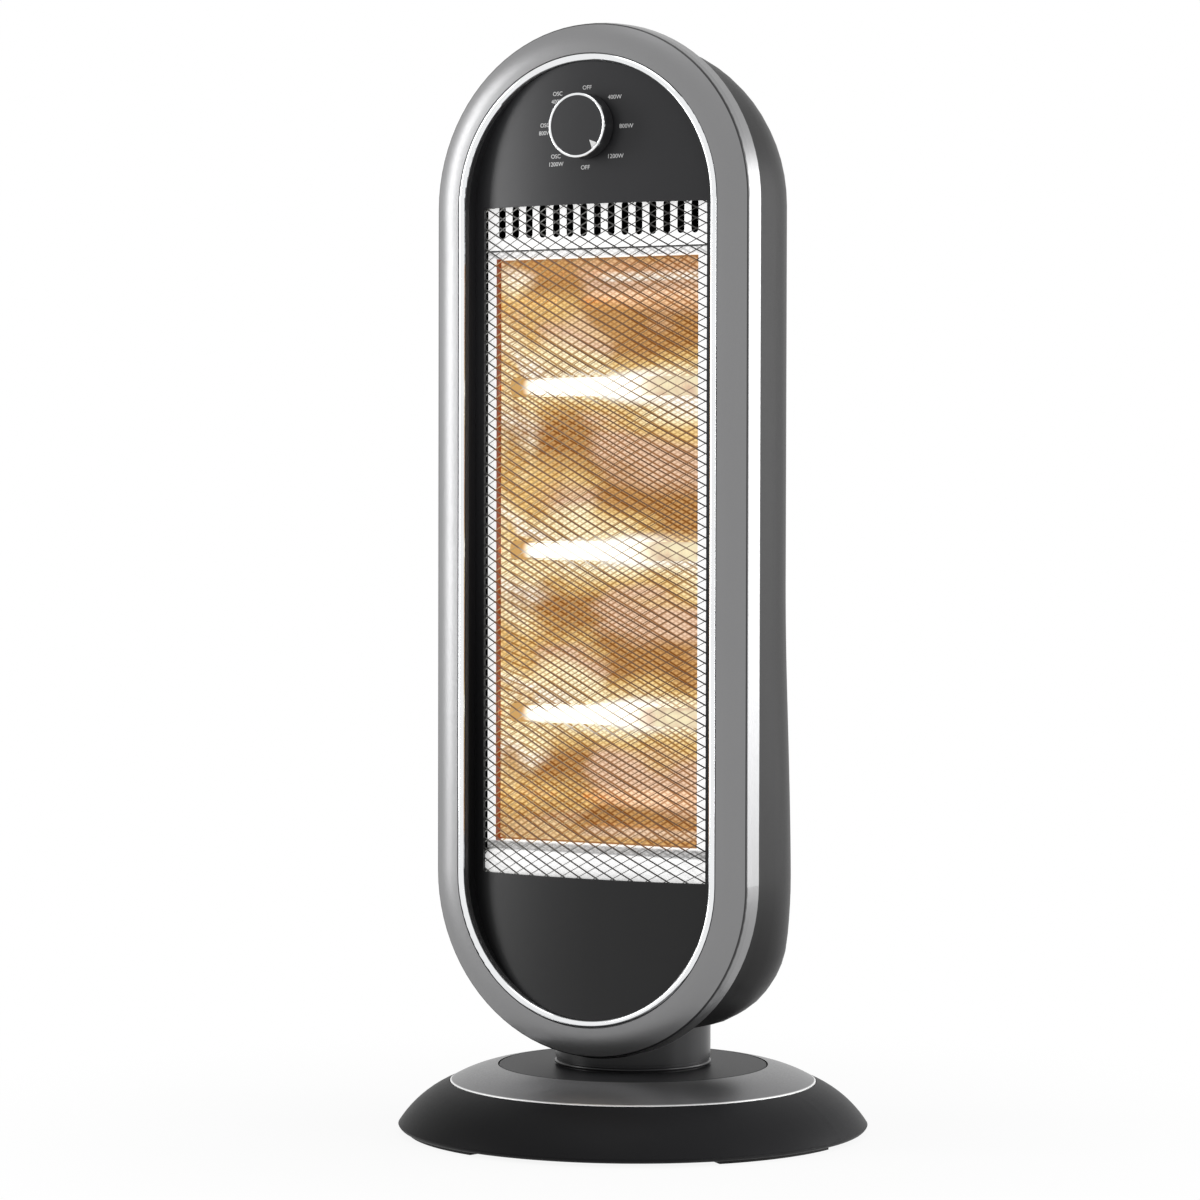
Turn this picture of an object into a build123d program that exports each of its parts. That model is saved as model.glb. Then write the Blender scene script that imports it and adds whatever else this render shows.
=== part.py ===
from build123d import *
from math import cos, radians, sin, sqrt
import os

# Oscillating radiant heater with three horizontal lamps, in millimetres.
# The origin is the middle of the base on the floor, +Z is up and the head faces -Y.

# Head outline: two round ends joined by straight sides
UPPER_CENTRE_Z = 486.0
LOWER_CENTRE_Z = 137.0
STRAIGHT = UPPER_CENTRE_Z - LOWER_CENTRE_Z
MIDDLE_Z = (UPPER_CENTRE_Z + LOWER_CENTRE_Z) / 2

# Front bezel, bright ring and bowed panel
BEZEL_RADIUS = 94.0
BEZEL_FACE_RADIUS = 92.4
BEZEL_BACK_Y = -35.0
BEZEL_FLANGE_RADIUS = 84.0
BEZEL_SEAT_Y = -49.6
BEZEL_LIP_BACK_Y = -47.0
BEZEL_INNER_RADIUS = 73.5
RING_OUTER_RADIUS = 77.3
RING_CROWN_Y = -52.4
RING_EDGE_Y = -50.9
PANEL_RADIUS = 73.3
PANEL_WALL = 2.2
PANEL_COLLAR_RADIUS = 75.5
PANEL_FLANGE_RADIUS = 83.5
PANEL_FLANGE_FRONT_Y = -40.8
PANEL_FLANGE_BACK_Y = -38.8
BOW_CROWN_Y = -50.3
BOW_RADIUS = 290.0
BOW_AXIS_Y = BOW_CROWN_Y + BOW_RADIUS
BOW_THICKNESS = 1.8
OPENING_HALF_WIDTH = 66.9
FRONT_CLEAR_Y = -60.0

# Expanded-metal guard, drawn with wide cells
GUARD_THICKNESS = 0.8
GUARD_HALF_WIDTH = 69.4
GUARD_MARGIN = 3.0
GUARD_CELL_WIDTH = 24.0
GUARD_CELL_HEIGHT = 13.6
GUARD_STRAND = 1.6
GUARD_COLUMNS = 5
GUARD_ROWS = 25

# Rear shell: a round-backed body that swells out over the neck
SHELL_RADIUS = 88.0
SHELL_BACK_Y = 46.0
SHELL_BACK_ROUND = 55.0
SHELL_WALL = 2.4
SHELL_LOWEST_Z = LOWER_CENTRE_Z - SHELL_RADIUS
SWELL_HALF_WIDTH = 87.6
SWELL_HALF_DEPTH = 60.0
SWELL_WIDEST_Z = 121.5
SWELL_FLOOR_Z = 55.0
SHELL_FLOOR_Z = SWELL_FLOOR_Z + SHELL_WALL
SWELL_PROFILE = (
    (31.0, SWELL_FLOOR_Z),
    (50.0, 59.6),
    (65.0, 67.4),
    (75.0, 76.6),
    (82.0, 87.6),
    (86.0, 99.9),
    (SWELL_HALF_WIDTH, SWELL_WIDEST_Z),
    (86.6, 175.0),
    (83.4, 230.0),
    (76.5, 300.0),
    (67.0, 362.0),
    (60.0, 400.0),
)
VENT_LENGTH = 54.0
VENT_HEIGHT = 3.2
VENT_PITCH = 8.0
VENT_ROWS = 8
UPPER_VENTS_Z = 430.0
LOWER_VENTS_Z = 300.0

# Screws that clamp shell, panel and bezel together
CLAMP_CENTRE_RADIUS = 79.0
CLAMP_POST_RADIUS = 4.2
CLAMP_SEAT_Y = -26.0
CLAMP_TIP_Y = -45.0
CLAMP_SHANK_RADIUS = 1.45
CLAMP_HOLE_RADIUS = 1.6
CLAMP_HEAD_RADIUS = 2.8
CLAMP_WELL_RADIUS = 3.0
BEZEL_BOSS_RADIUS = 3.4
CLAMP_MIDDLE_Z = 264.0
CLAMP_END_ANGLE = 50.0

# Reflector pan
SHEET = 0.8
PAN_FLANGE_Y = -39.0
PAN_FLANGE_HALF_WIDTH = 66.5
PAN_FLANGE_BOTTOM_Z = 149.5
PAN_FLANGE_TOP_Z = 464.0
PAN_HALF_WIDTH = 60.0
PAN_BOTTOM_Z = 154.0
PAN_TOP_Z = 459.3
PAN_FOLD_Y = -20.0
PAN_BACK_Y = -6.0
PAN_FIRST_RISE = 10.0
PAN_SECOND_RISE = 27.0
VENT_PLATE_TOP_Z = 498.0
SLOT_COUNT = 15
SLOT_PITCH = 8.27
SLOT_WIDTH = 4.2
SLOT_BOTTOM_Z = 470.0
SLOT_TOP_Z = 487.5
LIP_HALF_WIDTH = 69.6
LIP_BOTTOM_Z = 135.0
LIP_TOP_Z = 149.3
LIP_THICKNESS = 2.4
LIP_TAB_BOTTOM_Z = 125.0
LIP_TAB_WIDTH = 12.0
REFLECTOR_SCREW_X = 50.0
REFLECTOR_SCREW_INSET = 5.0
CUTOUT_Z = 418.0
CUTOUT_RADIUS = 8.0
CUTOUT_CAP_RADIUS = 6.0
CUTOUT_STEP = 5.0
CUTOUT_HEIGHT = 9.0

# Lamps
LAMP_HEIGHTS = {"upper": 392.5, "middle": 306.5, "lower": 220.5}
LAMP_Y = -22.0
TUBE_RADIUS = 5.0
TUBE_WALL = 1.0
TUBE_HALF_LENGTH = 66.0
TUBE_END_THICKNESS = 2.0
TUBE_HOLE_RADIUS = TUBE_RADIUS + 0.4
FILAMENT_RADIUS = 1.1
FILAMENT_HALF_LENGTH = 52.0
FILAMENT_LEAD_RADIUS = 0.4
CAP_START_X = 62.5
CAP_END_X = 73.0
CAP_SIZE = 12.0
RAIL_THICKNESS = 1.0
RAIL_WIDTH = 16.0
RAIL_BOTTOM_Z = 196.0
RAIL_TOP_Z = 417.0

# Dial, knob and rotary switch
DIAL_Z = 525.6
KNOB_RADIUS = 16.6
KNOB_RING_WIDTH = 1.3
KNOB_FRONT_Y = -60.6
KNOB_BACK_Y = -51.6
KNOB_WALL = 1.8
KNOB_HUB_RADIUS = 5.5
KNOB_FACE_INSET = 0.5
KNOB_RING_DEPTH = 1.6
POINTER_ANGLE = 135.0
POINTER_TIP = 11.0
POINTER_BASE = 15.2
POINTER_HALF_WIDTH = 2.0
POINTER_THICKNESS = 1.2
SWITCH_SHAFT_RADIUS = 3.0
SHAFT_HOLE_RADIUS = 5.5
SWITCH_SIZE = 34.0
SWITCH_FRONT_Y = -46.0
SWITCH_BACK_Y = -27.0
SWITCH_BUSH_END_Y = -38.0
SWITCH_SCREW_X = 12.5
TERMINAL_X = 12.0
TERMINAL_RISE = 7.0
TERMINAL_LENGTH = 7.0
SWITCH_SCREW_RADIUS = 1.3

# Neck
NECK_RADIUS = 41.0
NECK_WALL = 2.6
BEAD_FOOT_RADIUS = 40.4
BEAD_RADIUS = 41.4
BEAD_HEIGHT = 2.0
GROOVE_RADIUS = 40.2
GROOVE_BOTTOM_Z = 38.9
GROOVE_TOP_Z = 39.5
NECK_TOP_Z = 72.0
NECK_FLOOR_Z = 39.5
HUB_RADIUS = 31.95
HUB_BORE_RADIUS = 26.5
HUB_BOTTOM_Z = 32.6
NECK_BOSS_CENTRE_RADIUS = 31.0
NECK_SEAT_Z = 60.6
NECK_SCREW_RADIUS = 1.4
WASHER_OUTER_RADIUS = 39.0
WASHER_INNER_RADIUS = 33.0
WASHER_THICKNESS = 0.8

# Base
BASE_RADIUS = 124.0
BASE_WIDEST_Z = 4.2
BASE_LIP_RADIUS = 119.5
BASE_LIP_Z = 1.6
BASE_LIP_INNER_RADIUS = 118.0
SKIRT_TOP_RADIUS = 97.0
SKIRT_TOP_Z = 26.6
SILVER_OUTER_RADIUS = 96.6
SILVER_INNER_RADIUS = 71.4
SILVER_EDGE_Z = 26.9
DISC_RADIUS = 70.8
DISC_TOP_Z = 35.3
DISC_THICKNESS = 2.5
DISC_BORE_RADIUS = 32.0
SHELF_OUTER_Z = 25.0
SHELF_INNER_Z = 33.3
LEDGE_INNER_RADIUS = 58.0
LEDGE_TOP_Z = DISC_TOP_Z - DISC_THICKNESS
LEDGE_THICKNESS = 2.2
PLATE_RADIUS = 117.6
PLATE_TOP_Z = 3.2
FOOT_OUTER_RADIUS = 119.2
FOOT_INNER_RADIUS = 109.0
FOOT_ARC = 36.0
FOOT_CENTRE_ANGLES = (-122.0, -20.5, 58.0, 159.5)
BOSS_CENTRE_RADIUS = 107.5
BOSS_TOP_Z = 15.5
BOSS_COUNT = 6
BOSS_RADIUS = 3.6
BASE_SCREW_RADIUS = 1.4
BASE_SCREW_HEAD_RADIUS = 2.9
SCREW_RECESS_TOP_Z = 2.4
BALLAST_OUTER_RADIUS = 94.0
BALLAST_INNER_RADIUS = 62.0
BALLAST_THICKNESS = 6.0

# Oscillation drive: crank pin in a slotted plate
MOTOR_Y = 18.0
MOTOR_RADIUS = 24.5
MOTOR_BOTTOM_Z = 7.4
MOTOR_TOP_Z = 21.4
BRACKET_TOP_Z = 23.0
BRACKET_POST_X = 41.0
EAR_X = 29.0
EAR_THICKNESS = 1.0
MOTOR_SCREW_HEAD_RADIUS = 2.8
MOTOR_SCREW_HEAD_HEIGHT = 1.8
MOTOR_SHAFT_RADIUS = 3.45
CRANK_RADIUS = 12.3
CRANK_PIN_RADIUS = 2.0
CRANK_BOTTOM_Z = 24.6
CRANK_TOP_Z = 27.6
CRANK_PIN_TOP_Z = 32.3
SWING_PLATE_RADIUS = 38.0
SWING_PLATE_BOTTOM_Z = 30.6
SWING_SLOT_WIDTH = 5.0
SWING_SLOT_INNER = 19.2
SWING_SLOT_OUTER = 33.0
SWING_SCREW_RADIUS = 29.4
SWING_SCREW_ANGLES = (30.0, 150.0, 210.0, 330.0)

# Tip-over switch
TIP_X = -45.0
TIP_Y = -20.0
TIP_STEM_RADIUS = 4.0
TIP_FLANGE_RADIUS = 5.6
TIP_TRAVEL = 5.0
TIP_CAVITY_TOP_Z = 18.5
TIP_CAVITY_RADIUS = 6.2
TIP_FLANGE_Z = PLATE_TOP_Z + TIP_TRAVEL
TIP_FLANGE_THICKNESS = 1.5
SPRING_WIRE_RADIUS = 0.35
SPRING_COIL_RADIUS = 3.6
SPRING_BOTTOM_Z = TIP_FLANGE_Z + TIP_FLANGE_THICKNESS
SPRING_TURNS = 5

# Leads
LEAD_RADIUS = 2.8
LEAD_SPLIT_Z = 34.0
LEAD_RUN_Z = 25.4
LEAD_END_Y = -24.0
LEAD_BEND_RADIUS = 4.5
WIRE_RADIUS = 1.1
WIRE_X = 68.0
WIRE_Y = 3.0
WIRE_BEND_RADIUS = 4.0
BASE_BLOCK_HEIGHT = 12.0
HEAD_BLOCK_FRONT_Y = 6.0
HEAD_BLOCK_TOP_Z = SHELL_FLOOR_Z + 14.0
BUSHING_Z = 12.0
BUSHING_RADIUS = 6.5
BUSHING_BORE_RADIUS = 3.5
BUSHING_FLANGE_RADIUS = 7.4
BUSHING_FRONT_Y = 97.0
BUSHING_WALL_Y = 99.5
BUSHING_BACK_Y = 122.0

os.makedirs("parts", exist_ok=True)


def depth_plane(y):
    """Plane at one depth, with X across and Z up, facing the front."""
    return Plane.XZ.offset(-y)


def bow_y(x, inset=0.0):
    """Depth of the bowed front at one distance from the middle."""
    return BOW_AXIS_Y - sqrt((BOW_RADIUS - inset) ** 2 - x ** 2)


def carry_round_head(draw_section):
    """Carry a section, drawn as distance from the middle against depth, round the head."""
    for centre_z, turn in ((UPPER_CENTRE_Z, -1), (LOWER_CENTRE_Z, 1)):
        with BuildSketch(Plane.XY.offset(centre_z)) as section:
            draw_section(1)
        revolve(section.sketch, axis=Axis((0, 0, centre_z), (0, turn, 0)), revolution_arc=180)
    for side in (-1, 1):
        with BuildSketch(Plane.XY.offset(LOWER_CENTRE_Z)) as section:
            draw_section(side)
        extrude(section.sketch, amount=STRAIGHT)


def band_section(inner_radius, outer_radius, front_y, back_y):
    """Plain rectangular section for carry_round_head."""
    def draw(side):
        with Locations((side * (inner_radius + outer_radius) / 2, (front_y + back_y) / 2)):
            Rectangle(outer_radius - inner_radius, back_y - front_y)
    return draw


def round_ended_slab(radius, front_y, back_y, mode=Mode.ADD):
    """Round-ended slab between two depths."""
    with BuildSketch(depth_plane(front_y)) as outline:
        with Locations((0, MIDDLE_Z)):
            SlotCenterToCenter(STRAIGHT, 2 * radius, rotation=90)
    extrude(outline.sketch, amount=-(back_y - front_y), mode=mode)


def clamp_points():
    """Places of the six clamping screws, across and up."""
    points = [(-CLAMP_CENTRE_RADIUS, CLAMP_MIDDLE_Z), (CLAMP_CENTRE_RADIUS, CLAMP_MIDDLE_Z)]
    for centre_z, up in ((UPPER_CENTRE_Z, 1), (LOWER_CENTRE_Z, -1)):
        for side in (-1, 1):
            x = side * CLAMP_CENTRE_RADIUS * cos(radians(CLAMP_END_ANGLE))
            z = centre_z + up * CLAMP_CENTRE_RADIUS * sin(radians(CLAMP_END_ANGLE))
            points.append((x, z))
    return points


def rods_along_depth(points, radius, front_y, back_y, mode=Mode.ADD):
    """Round rods from one depth to another at each point."""
    with BuildSketch(depth_plane(front_y)) as outline:
        with Locations(*points):
            Circle(radius)
    extrude(outline.sketch, amount=-(back_y - front_y), mode=mode)


def rods_upright(points, radius, bottom_z, top_z, mode=Mode.ADD):
    """Upright round rods from one height to another at each point."""
    with BuildSketch(Plane.XY.offset(bottom_z)) as outline:
        with Locations(*points):
            Circle(radius)
    extrude(outline.sketch, amount=top_z - bottom_z, mode=mode)


def points_round(radius, angles):
    """Points on a circle about the upright axis."""
    return [(radius * cos(radians(a)), radius * sin(radians(a))) for a in angles]


def shell_volume(inset, front_y):
    """Volume of the rear of the head, moved in from its outer surface."""
    with BuildPart() as body:
        round_ended_slab(SHELL_RADIUS - inset, front_y, SHELL_BACK_Y - inset)
        fillet(body.faces().sort_by(Axis.Y)[-1].edges(), SHELL_BACK_ROUND - inset)
    with BuildPart() as swell:
        for half_width, z in SWELL_PROFILE:
            rise = max(0.0, (SWELL_WIDEST_Z - z) / (SWELL_WIDEST_Z - SWELL_FLOOR_Z))
            half_depth = half_width * SWELL_HALF_DEPTH / SWELL_HALF_WIDTH
            with BuildSketch(Plane.XY.offset(z + inset * rise)):
                Ellipse(half_width - inset, half_depth - inset)
        loft(ruled=True)
        front_plane = Plane(origin=(0, front_y, 0), x_dir=(1, 0, 0), z_dir=(0, 1, 0))
        split(bisect_by=front_plane, keep=Keep.TOP)
    with BuildPart() as volume:
        add(body.part)
        add(swell.part)
    return volume.part


# Base skirt: domed outer wall, shelf for the silver ring, ledge for the top disc
with BuildPart() as base_skirt:
    with BuildSketch(Plane.XZ):
        with BuildLine():
            Line((BASE_LIP_INNER_RADIUS, BASE_LIP_Z), (BASE_LIP_RADIUS, BASE_LIP_Z))
            ThreePointArc((BASE_LIP_RADIUS, BASE_LIP_Z), (122.8, 2.5), (BASE_RADIUS, BASE_WIDEST_Z))
            ThreePointArc(
                (BASE_RADIUS, BASE_WIDEST_Z),
                (112.3, 17.4),
                (SKIRT_TOP_RADIUS, SKIRT_TOP_Z),
            )
            Polyline(
                (SKIRT_TOP_RADIUS, SKIRT_TOP_Z),
                (SKIRT_TOP_RADIUS, SHELF_OUTER_Z),
                (SILVER_INNER_RADIUS - 0.2, SHELF_INNER_Z),
                (SILVER_INNER_RADIUS - 0.2, LEDGE_TOP_Z),
                (LEDGE_INNER_RADIUS, LEDGE_TOP_Z),
                (LEDGE_INNER_RADIUS, LEDGE_TOP_Z - LEDGE_THICKNESS),
                (SILVER_INNER_RADIUS - 2.0, LEDGE_TOP_Z - LEDGE_THICKNESS),
                (95.4, 22.2),
            )
            ThreePointArc((95.4, 22.2), (110.2, 14.4), (121.2, 4.8))
            Polyline(
                (121.2, 4.8),
                (BASE_LIP_INNER_RADIUS, 3.4),
                (BASE_LIP_INNER_RADIUS, BASE_LIP_Z),
            )
        make_face()
    revolve(axis=Axis.Z)
    boss_points = points_round(BOSS_CENTRE_RADIUS, [60 * i for i in range(BOSS_COUNT)])
    rods_upright(boss_points, BOSS_RADIUS, PLATE_TOP_Z, BOSS_TOP_Z)
    pilot_top_z = BOSS_TOP_Z - 3.5
    rods_upright(boss_points, BASE_SCREW_RADIUS, PLATE_TOP_Z, pilot_top_z, mode=Mode.SUBTRACT)
    bushing_place = [(0, BUSHING_Z)]
    rods_along_depth(bushing_place, BUSHING_RADIUS, 90.0, BASE_RADIUS + 6.0, mode=Mode.SUBTRACT)
base_skirt.part.label = "base_skirt"
export_step(base_skirt.part, "parts/base_skirt.step")

# Silver ring lying on the skirt's shelf
with BuildPart() as base_silver_ring:
    with BuildSketch(Plane.XZ):
        with BuildLine():
            ThreePointArc(
                (SILVER_OUTER_RADIUS, SILVER_EDGE_Z),
                (84.6, 32.2),
                (SILVER_INNER_RADIUS, DISC_TOP_Z),
            )
            Polyline(
                (SILVER_INNER_RADIUS, DISC_TOP_Z),
                (SILVER_INNER_RADIUS, SHELF_INNER_Z + 0.05),
                (SILVER_OUTER_RADIUS, SHELF_OUTER_Z + 0.2),
                (SILVER_OUTER_RADIUS, SILVER_EDGE_Z),
            )
        make_face()
    revolve(axis=Axis.Z)
base_silver_ring.part.label = "base_silver_ring"
export_step(base_silver_ring.part, "parts/base_silver_ring.step")

# Top disc with the bearing bore and two posts for the motor bracket
with BuildPart() as base_top_disc:
    rods_upright([(0, 0)], DISC_RADIUS, LEDGE_TOP_Z, DISC_TOP_Z)
    disc_rim = base_top_disc.edges().filter_by(GeomType.CIRCLE).group_by(Axis.Z)[-1]
    fillet(disc_rim, 0.8)
    post_points = [(-BRACKET_POST_X, MOTOR_Y), (BRACKET_POST_X, MOTOR_Y)]
    rods_upright(post_points, BOSS_RADIUS, BRACKET_TOP_Z, LEDGE_TOP_Z)
    pilot_top_z = LEDGE_TOP_Z - 2.0
    rods_upright(post_points, BASE_SCREW_RADIUS, BRACKET_TOP_Z, pilot_top_z, mode=Mode.SUBTRACT)
    rods_upright([(0, 0)], DISC_BORE_RADIUS, LEDGE_TOP_Z, DISC_TOP_Z, mode=Mode.SUBTRACT)
base_top_disc.part.label = "base_top_disc"
export_step(base_top_disc.part, "parts/base_top_disc.step")

# Bottom plate with screw holes and the tip-over switch's guide hole
with BuildPart() as base_bottom_plate:
    rods_upright([(0, 0)], PLATE_RADIUS, BASE_LIP_Z, PLATE_TOP_Z)
    screw_hole = BASE_SCREW_RADIUS + 0.3
    rods_upright(boss_points, screw_hole, BASE_LIP_Z, PLATE_TOP_Z, mode=Mode.SUBTRACT)
    screw_recess = BASE_SCREW_HEAD_RADIUS + 0.2
    rods_upright(boss_points, screw_recess, BASE_LIP_Z, SCREW_RECESS_TOP_Z, mode=Mode.SUBTRACT)
    tip_guide = TIP_STEM_RADIUS + 0.08
    rods_upright([(TIP_X, TIP_Y)], tip_guide, BASE_LIP_Z, PLATE_TOP_Z, mode=Mode.SUBTRACT)
base_bottom_plate.part.label = "base_bottom_plate"
export_step(base_bottom_plate.part, "parts/base_bottom_plate.step")

# Four arc-shaped foot pads under the rim
with BuildPart() as base_feet:
    for centre_angle in FOOT_CENTRE_ANGLES:
        with BuildSketch(Plane.XZ.rotated((0, 0, centre_angle - FOOT_ARC / 2))):
            with Locations(((FOOT_INNER_RADIUS + FOOT_OUTER_RADIUS) / 2, BASE_LIP_Z / 2)):
                Rectangle(FOOT_OUTER_RADIUS - FOOT_INNER_RADIUS, BASE_LIP_Z)
        revolve(axis=Axis.Z, revolution_arc=FOOT_ARC)
base_feet.part.label = "base_feet"
export_step(base_feet.part, "parts/base_feet.step")

# Bottom plate screws
with BuildPart() as base_screws:
    rods_upright(boss_points, BASE_SCREW_HEAD_RADIUS, BASE_LIP_Z + 0.1, SCREW_RECESS_TOP_Z)
    rods_upright(boss_points, BASE_SCREW_RADIUS, SCREW_RECESS_TOP_Z, BOSS_TOP_Z - 4.0)
base_screws.part.label = "base_screws"
export_step(base_screws.part, "parts/base_screws.step")

# Ballast plate, a steel ring lying on the bottom plate
with BuildPart() as ballast_plate:
    ballast_top_z = PLATE_TOP_Z + BALLAST_THICKNESS
    rods_upright([(0, 0)], BALLAST_OUTER_RADIUS, PLATE_TOP_Z, ballast_top_z)
    rods_upright([(0, 0)], BALLAST_INNER_RADIUS, PLATE_TOP_Z, ballast_top_z, mode=Mode.SUBTRACT)
    chamfer(ballast_plate.edges().group_by(Axis.Z)[-1], 0.6)
ballast_plate.part.label = "ballast_plate"
export_step(ballast_plate.part, "parts/ballast_plate.step")

# Rubber bushing where the supply lead enters at the back
with BuildPart() as cable_bushing:
    rods_along_depth(bushing_place, BUSHING_RADIUS, BUSHING_WALL_Y, BUSHING_BACK_Y)
    rods_along_depth(bushing_place, BUSHING_FLANGE_RADIUS, BUSHING_FRONT_Y, BUSHING_WALL_Y)
    rods_along_depth(
        bushing_place,
        BUSHING_BORE_RADIUS,
        BUSHING_FRONT_Y,
        BUSHING_BACK_Y,
        mode=Mode.SUBTRACT,
    )
    fillet(cable_bushing.edges().group_by(Axis.Y)[-1], 0.8)
cable_bushing.part.label = "cable_bushing"
export_step(cable_bushing.part, "parts/cable_bushing.step")

# Synchronous motor with two mounting ears
with BuildPart() as oscillation_motor:
    rods_upright([(0, MOTOR_Y)], MOTOR_RADIUS, MOTOR_BOTTOM_Z, MOTOR_TOP_Z)
    chamfer(oscillation_motor.edges().group_by(Axis.Z)[0], 0.8)
    ear_bottom_z = MOTOR_TOP_Z - EAR_THICKNESS
    with BuildSketch(Plane.XY.offset(ear_bottom_z)):
        with Locations((0, MOTOR_Y)):
            SlotOverall(2 * EAR_X + 10.0, 9.0)
    extrude(amount=EAR_THICKNESS)
    shaft_bore = MOTOR_SHAFT_RADIUS + 0.05
    rods_upright([(0, MOTOR_Y)], shaft_bore, MOTOR_BOTTOM_Z + 4.0, MOTOR_TOP_Z, mode=Mode.SUBTRACT)
    ear_points = [(-EAR_X, MOTOR_Y), (EAR_X, MOTOR_Y)]
    rods_upright(ear_points, 1.5, ear_bottom_z, MOTOR_TOP_Z, mode=Mode.SUBTRACT)
oscillation_motor.part.label = "oscillation_motor"
export_step(oscillation_motor.part, "parts/oscillation_motor.step")

# Steel strap that hangs the motor from the top disc's posts
with BuildPart() as motor_bracket:
    with BuildSketch(Plane.XY.offset(MOTOR_TOP_Z)):
        with Locations((0, MOTOR_Y)):
            SlotOverall(2 * BRACKET_POST_X + 11.0, 11.0)
            Circle(11.0)
        with Locations((0, MOTOR_Y)):
            Circle(5.5, mode=Mode.SUBTRACT)
        with Locations(*ear_points, *post_points):
            Circle(1.5, mode=Mode.SUBTRACT)
    extrude(amount=BRACKET_TOP_Z - MOTOR_TOP_Z)
motor_bracket.part.label = "motor_bracket"
export_step(motor_bracket.part, "parts/motor_bracket.step")

# Screws through the motor's ears and into the posts
with BuildPart() as motor_screws:
    ear_head_z = ear_bottom_z - MOTOR_SCREW_HEAD_HEIGHT
    rods_upright(ear_points, MOTOR_SCREW_HEAD_RADIUS, ear_head_z, ear_bottom_z)
    rods_upright(ear_points, 1.45, ear_bottom_z, BRACKET_TOP_Z + 1.0)
    post_head_z = MOTOR_TOP_Z - MOTOR_SCREW_HEAD_HEIGHT
    rods_upright(post_points, MOTOR_SCREW_HEAD_RADIUS, post_head_z, MOTOR_TOP_Z)
    rods_upright(post_points, 1.35, MOTOR_TOP_Z, LEDGE_TOP_Z - 3.0)
motor_screws.part.label = "motor_screws"
export_step(motor_screws.part, "parts/motor_screws.step")

# Output shaft of the motor
with BuildPart() as motor_shaft:
    rods_upright([(0, MOTOR_Y)], MOTOR_SHAFT_RADIUS, MOTOR_BOTTOM_Z + 4.2, CRANK_TOP_Z)
    chamfer(motor_shaft.edges().group_by(Axis.Z)[-1], 0.4)
motor_shaft.part.label = "motor_shaft"
export_step(motor_shaft.part, "parts/motor_shaft.step")

# Crank arm with its upright pin
with BuildPart() as drive_crank:
    with BuildSketch(Plane.XY.offset(CRANK_BOTTOM_Z)):
        with Locations((0, MOTOR_Y)):
            Circle(7.0)
        with Locations((0, MOTOR_Y + CRANK_RADIUS / 2)):
            SlotCenterToCenter(CRANK_RADIUS, 9.0, rotation=90)
        with Locations((0, MOTOR_Y)):
            Circle(MOTOR_SHAFT_RADIUS, mode=Mode.SUBTRACT)
    extrude(amount=CRANK_TOP_Z - CRANK_BOTTOM_Z)
    pin_place = [(0, MOTOR_Y + CRANK_RADIUS)]
    rods_upright(pin_place, CRANK_PIN_RADIUS, CRANK_TOP_Z, CRANK_PIN_TOP_Z)
drive_crank.part.label = "drive_crank"
export_step(drive_crank.part, "parts/drive_crank.step")

# Slotted plate under the disc: it swings the neck and holds it down
with BuildPart() as swing_plate:
    swing_screw_points = points_round(SWING_SCREW_RADIUS, SWING_SCREW_ANGLES)
    with BuildSketch(Plane.XY.offset(SWING_PLATE_BOTTOM_Z)):
        Circle(SWING_PLATE_RADIUS)
        Circle(LEAD_RADIUS + 1.4, mode=Mode.SUBTRACT)
        with Locations((0, (SWING_SLOT_INNER + SWING_SLOT_OUTER) / 2)):
            SlotOverall(
                SWING_SLOT_OUTER - SWING_SLOT_INNER,
                SWING_SLOT_WIDTH,
                rotation=90,
                mode=Mode.SUBTRACT,
            )
        with Locations(*swing_screw_points):
            Circle(1.5, mode=Mode.SUBTRACT)
    extrude(amount=HUB_BOTTOM_Z - SWING_PLATE_BOTTOM_Z)
swing_plate.part.label = "swing_plate"
export_step(swing_plate.part, "parts/swing_plate.step")

with BuildPart() as swing_plate_screws:
    rods_upright(swing_screw_points, 2.6, SWING_PLATE_BOTTOM_Z - 1.5, SWING_PLATE_BOTTOM_Z)
    rods_upright(swing_screw_points, NECK_SCREW_RADIUS, SWING_PLATE_BOTTOM_Z, NECK_FLOOR_Z - 1.0)
swing_plate_screws.part.label = "swing_plate_screws"
export_step(swing_plate_screws.part, "parts/swing_plate_screws.step")

# Low-friction washer between the neck and the disc
with BuildPart() as neck_washer:
    washer_top_z = DISC_TOP_Z + WASHER_THICKNESS
    rods_upright([(0, 0)], WASHER_OUTER_RADIUS, DISC_TOP_Z, washer_top_z)
    rods_upright([(0, 0)], WASHER_INNER_RADIUS, DISC_TOP_Z, washer_top_z, mode=Mode.SUBTRACT)
neck_washer.part.label = "neck_washer"
export_step(neck_washer.part, "parts/neck_washer.step")

# Terminal block in the base
with BuildPart() as base_terminal_block:
    with BuildSketch(Plane.XY.offset(PLATE_TOP_Z)):
        with Locations((0, -26.0)):
            RectangleRounded(26.0, 16.0, 1.5)
    extrude(amount=BASE_BLOCK_HEIGHT)
base_terminal_block.part.label = "base_terminal_block"
export_step(base_terminal_block.part, "parts/base_terminal_block.step")

# Tip-over switch: housing, sprung plunger and its spring
with BuildPart() as tip_switch_housing:
    with BuildSketch(Plane.XY.offset(PLATE_TOP_Z)):
        with Locations((TIP_X, TIP_Y)):
            RectangleRounded(22.0, 16.0, 2.0)
    extrude(amount=TIP_CAVITY_TOP_Z + 2.0 - PLATE_TOP_Z)
    tip_place = [(TIP_X, TIP_Y)]
    rods_upright(tip_place, TIP_CAVITY_RADIUS, PLATE_TOP_Z, TIP_CAVITY_TOP_Z, mode=Mode.SUBTRACT)
tip_switch_housing.part.label = "tip_switch_housing"
export_step(tip_switch_housing.part, "parts/tip_switch_housing.step")

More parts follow.
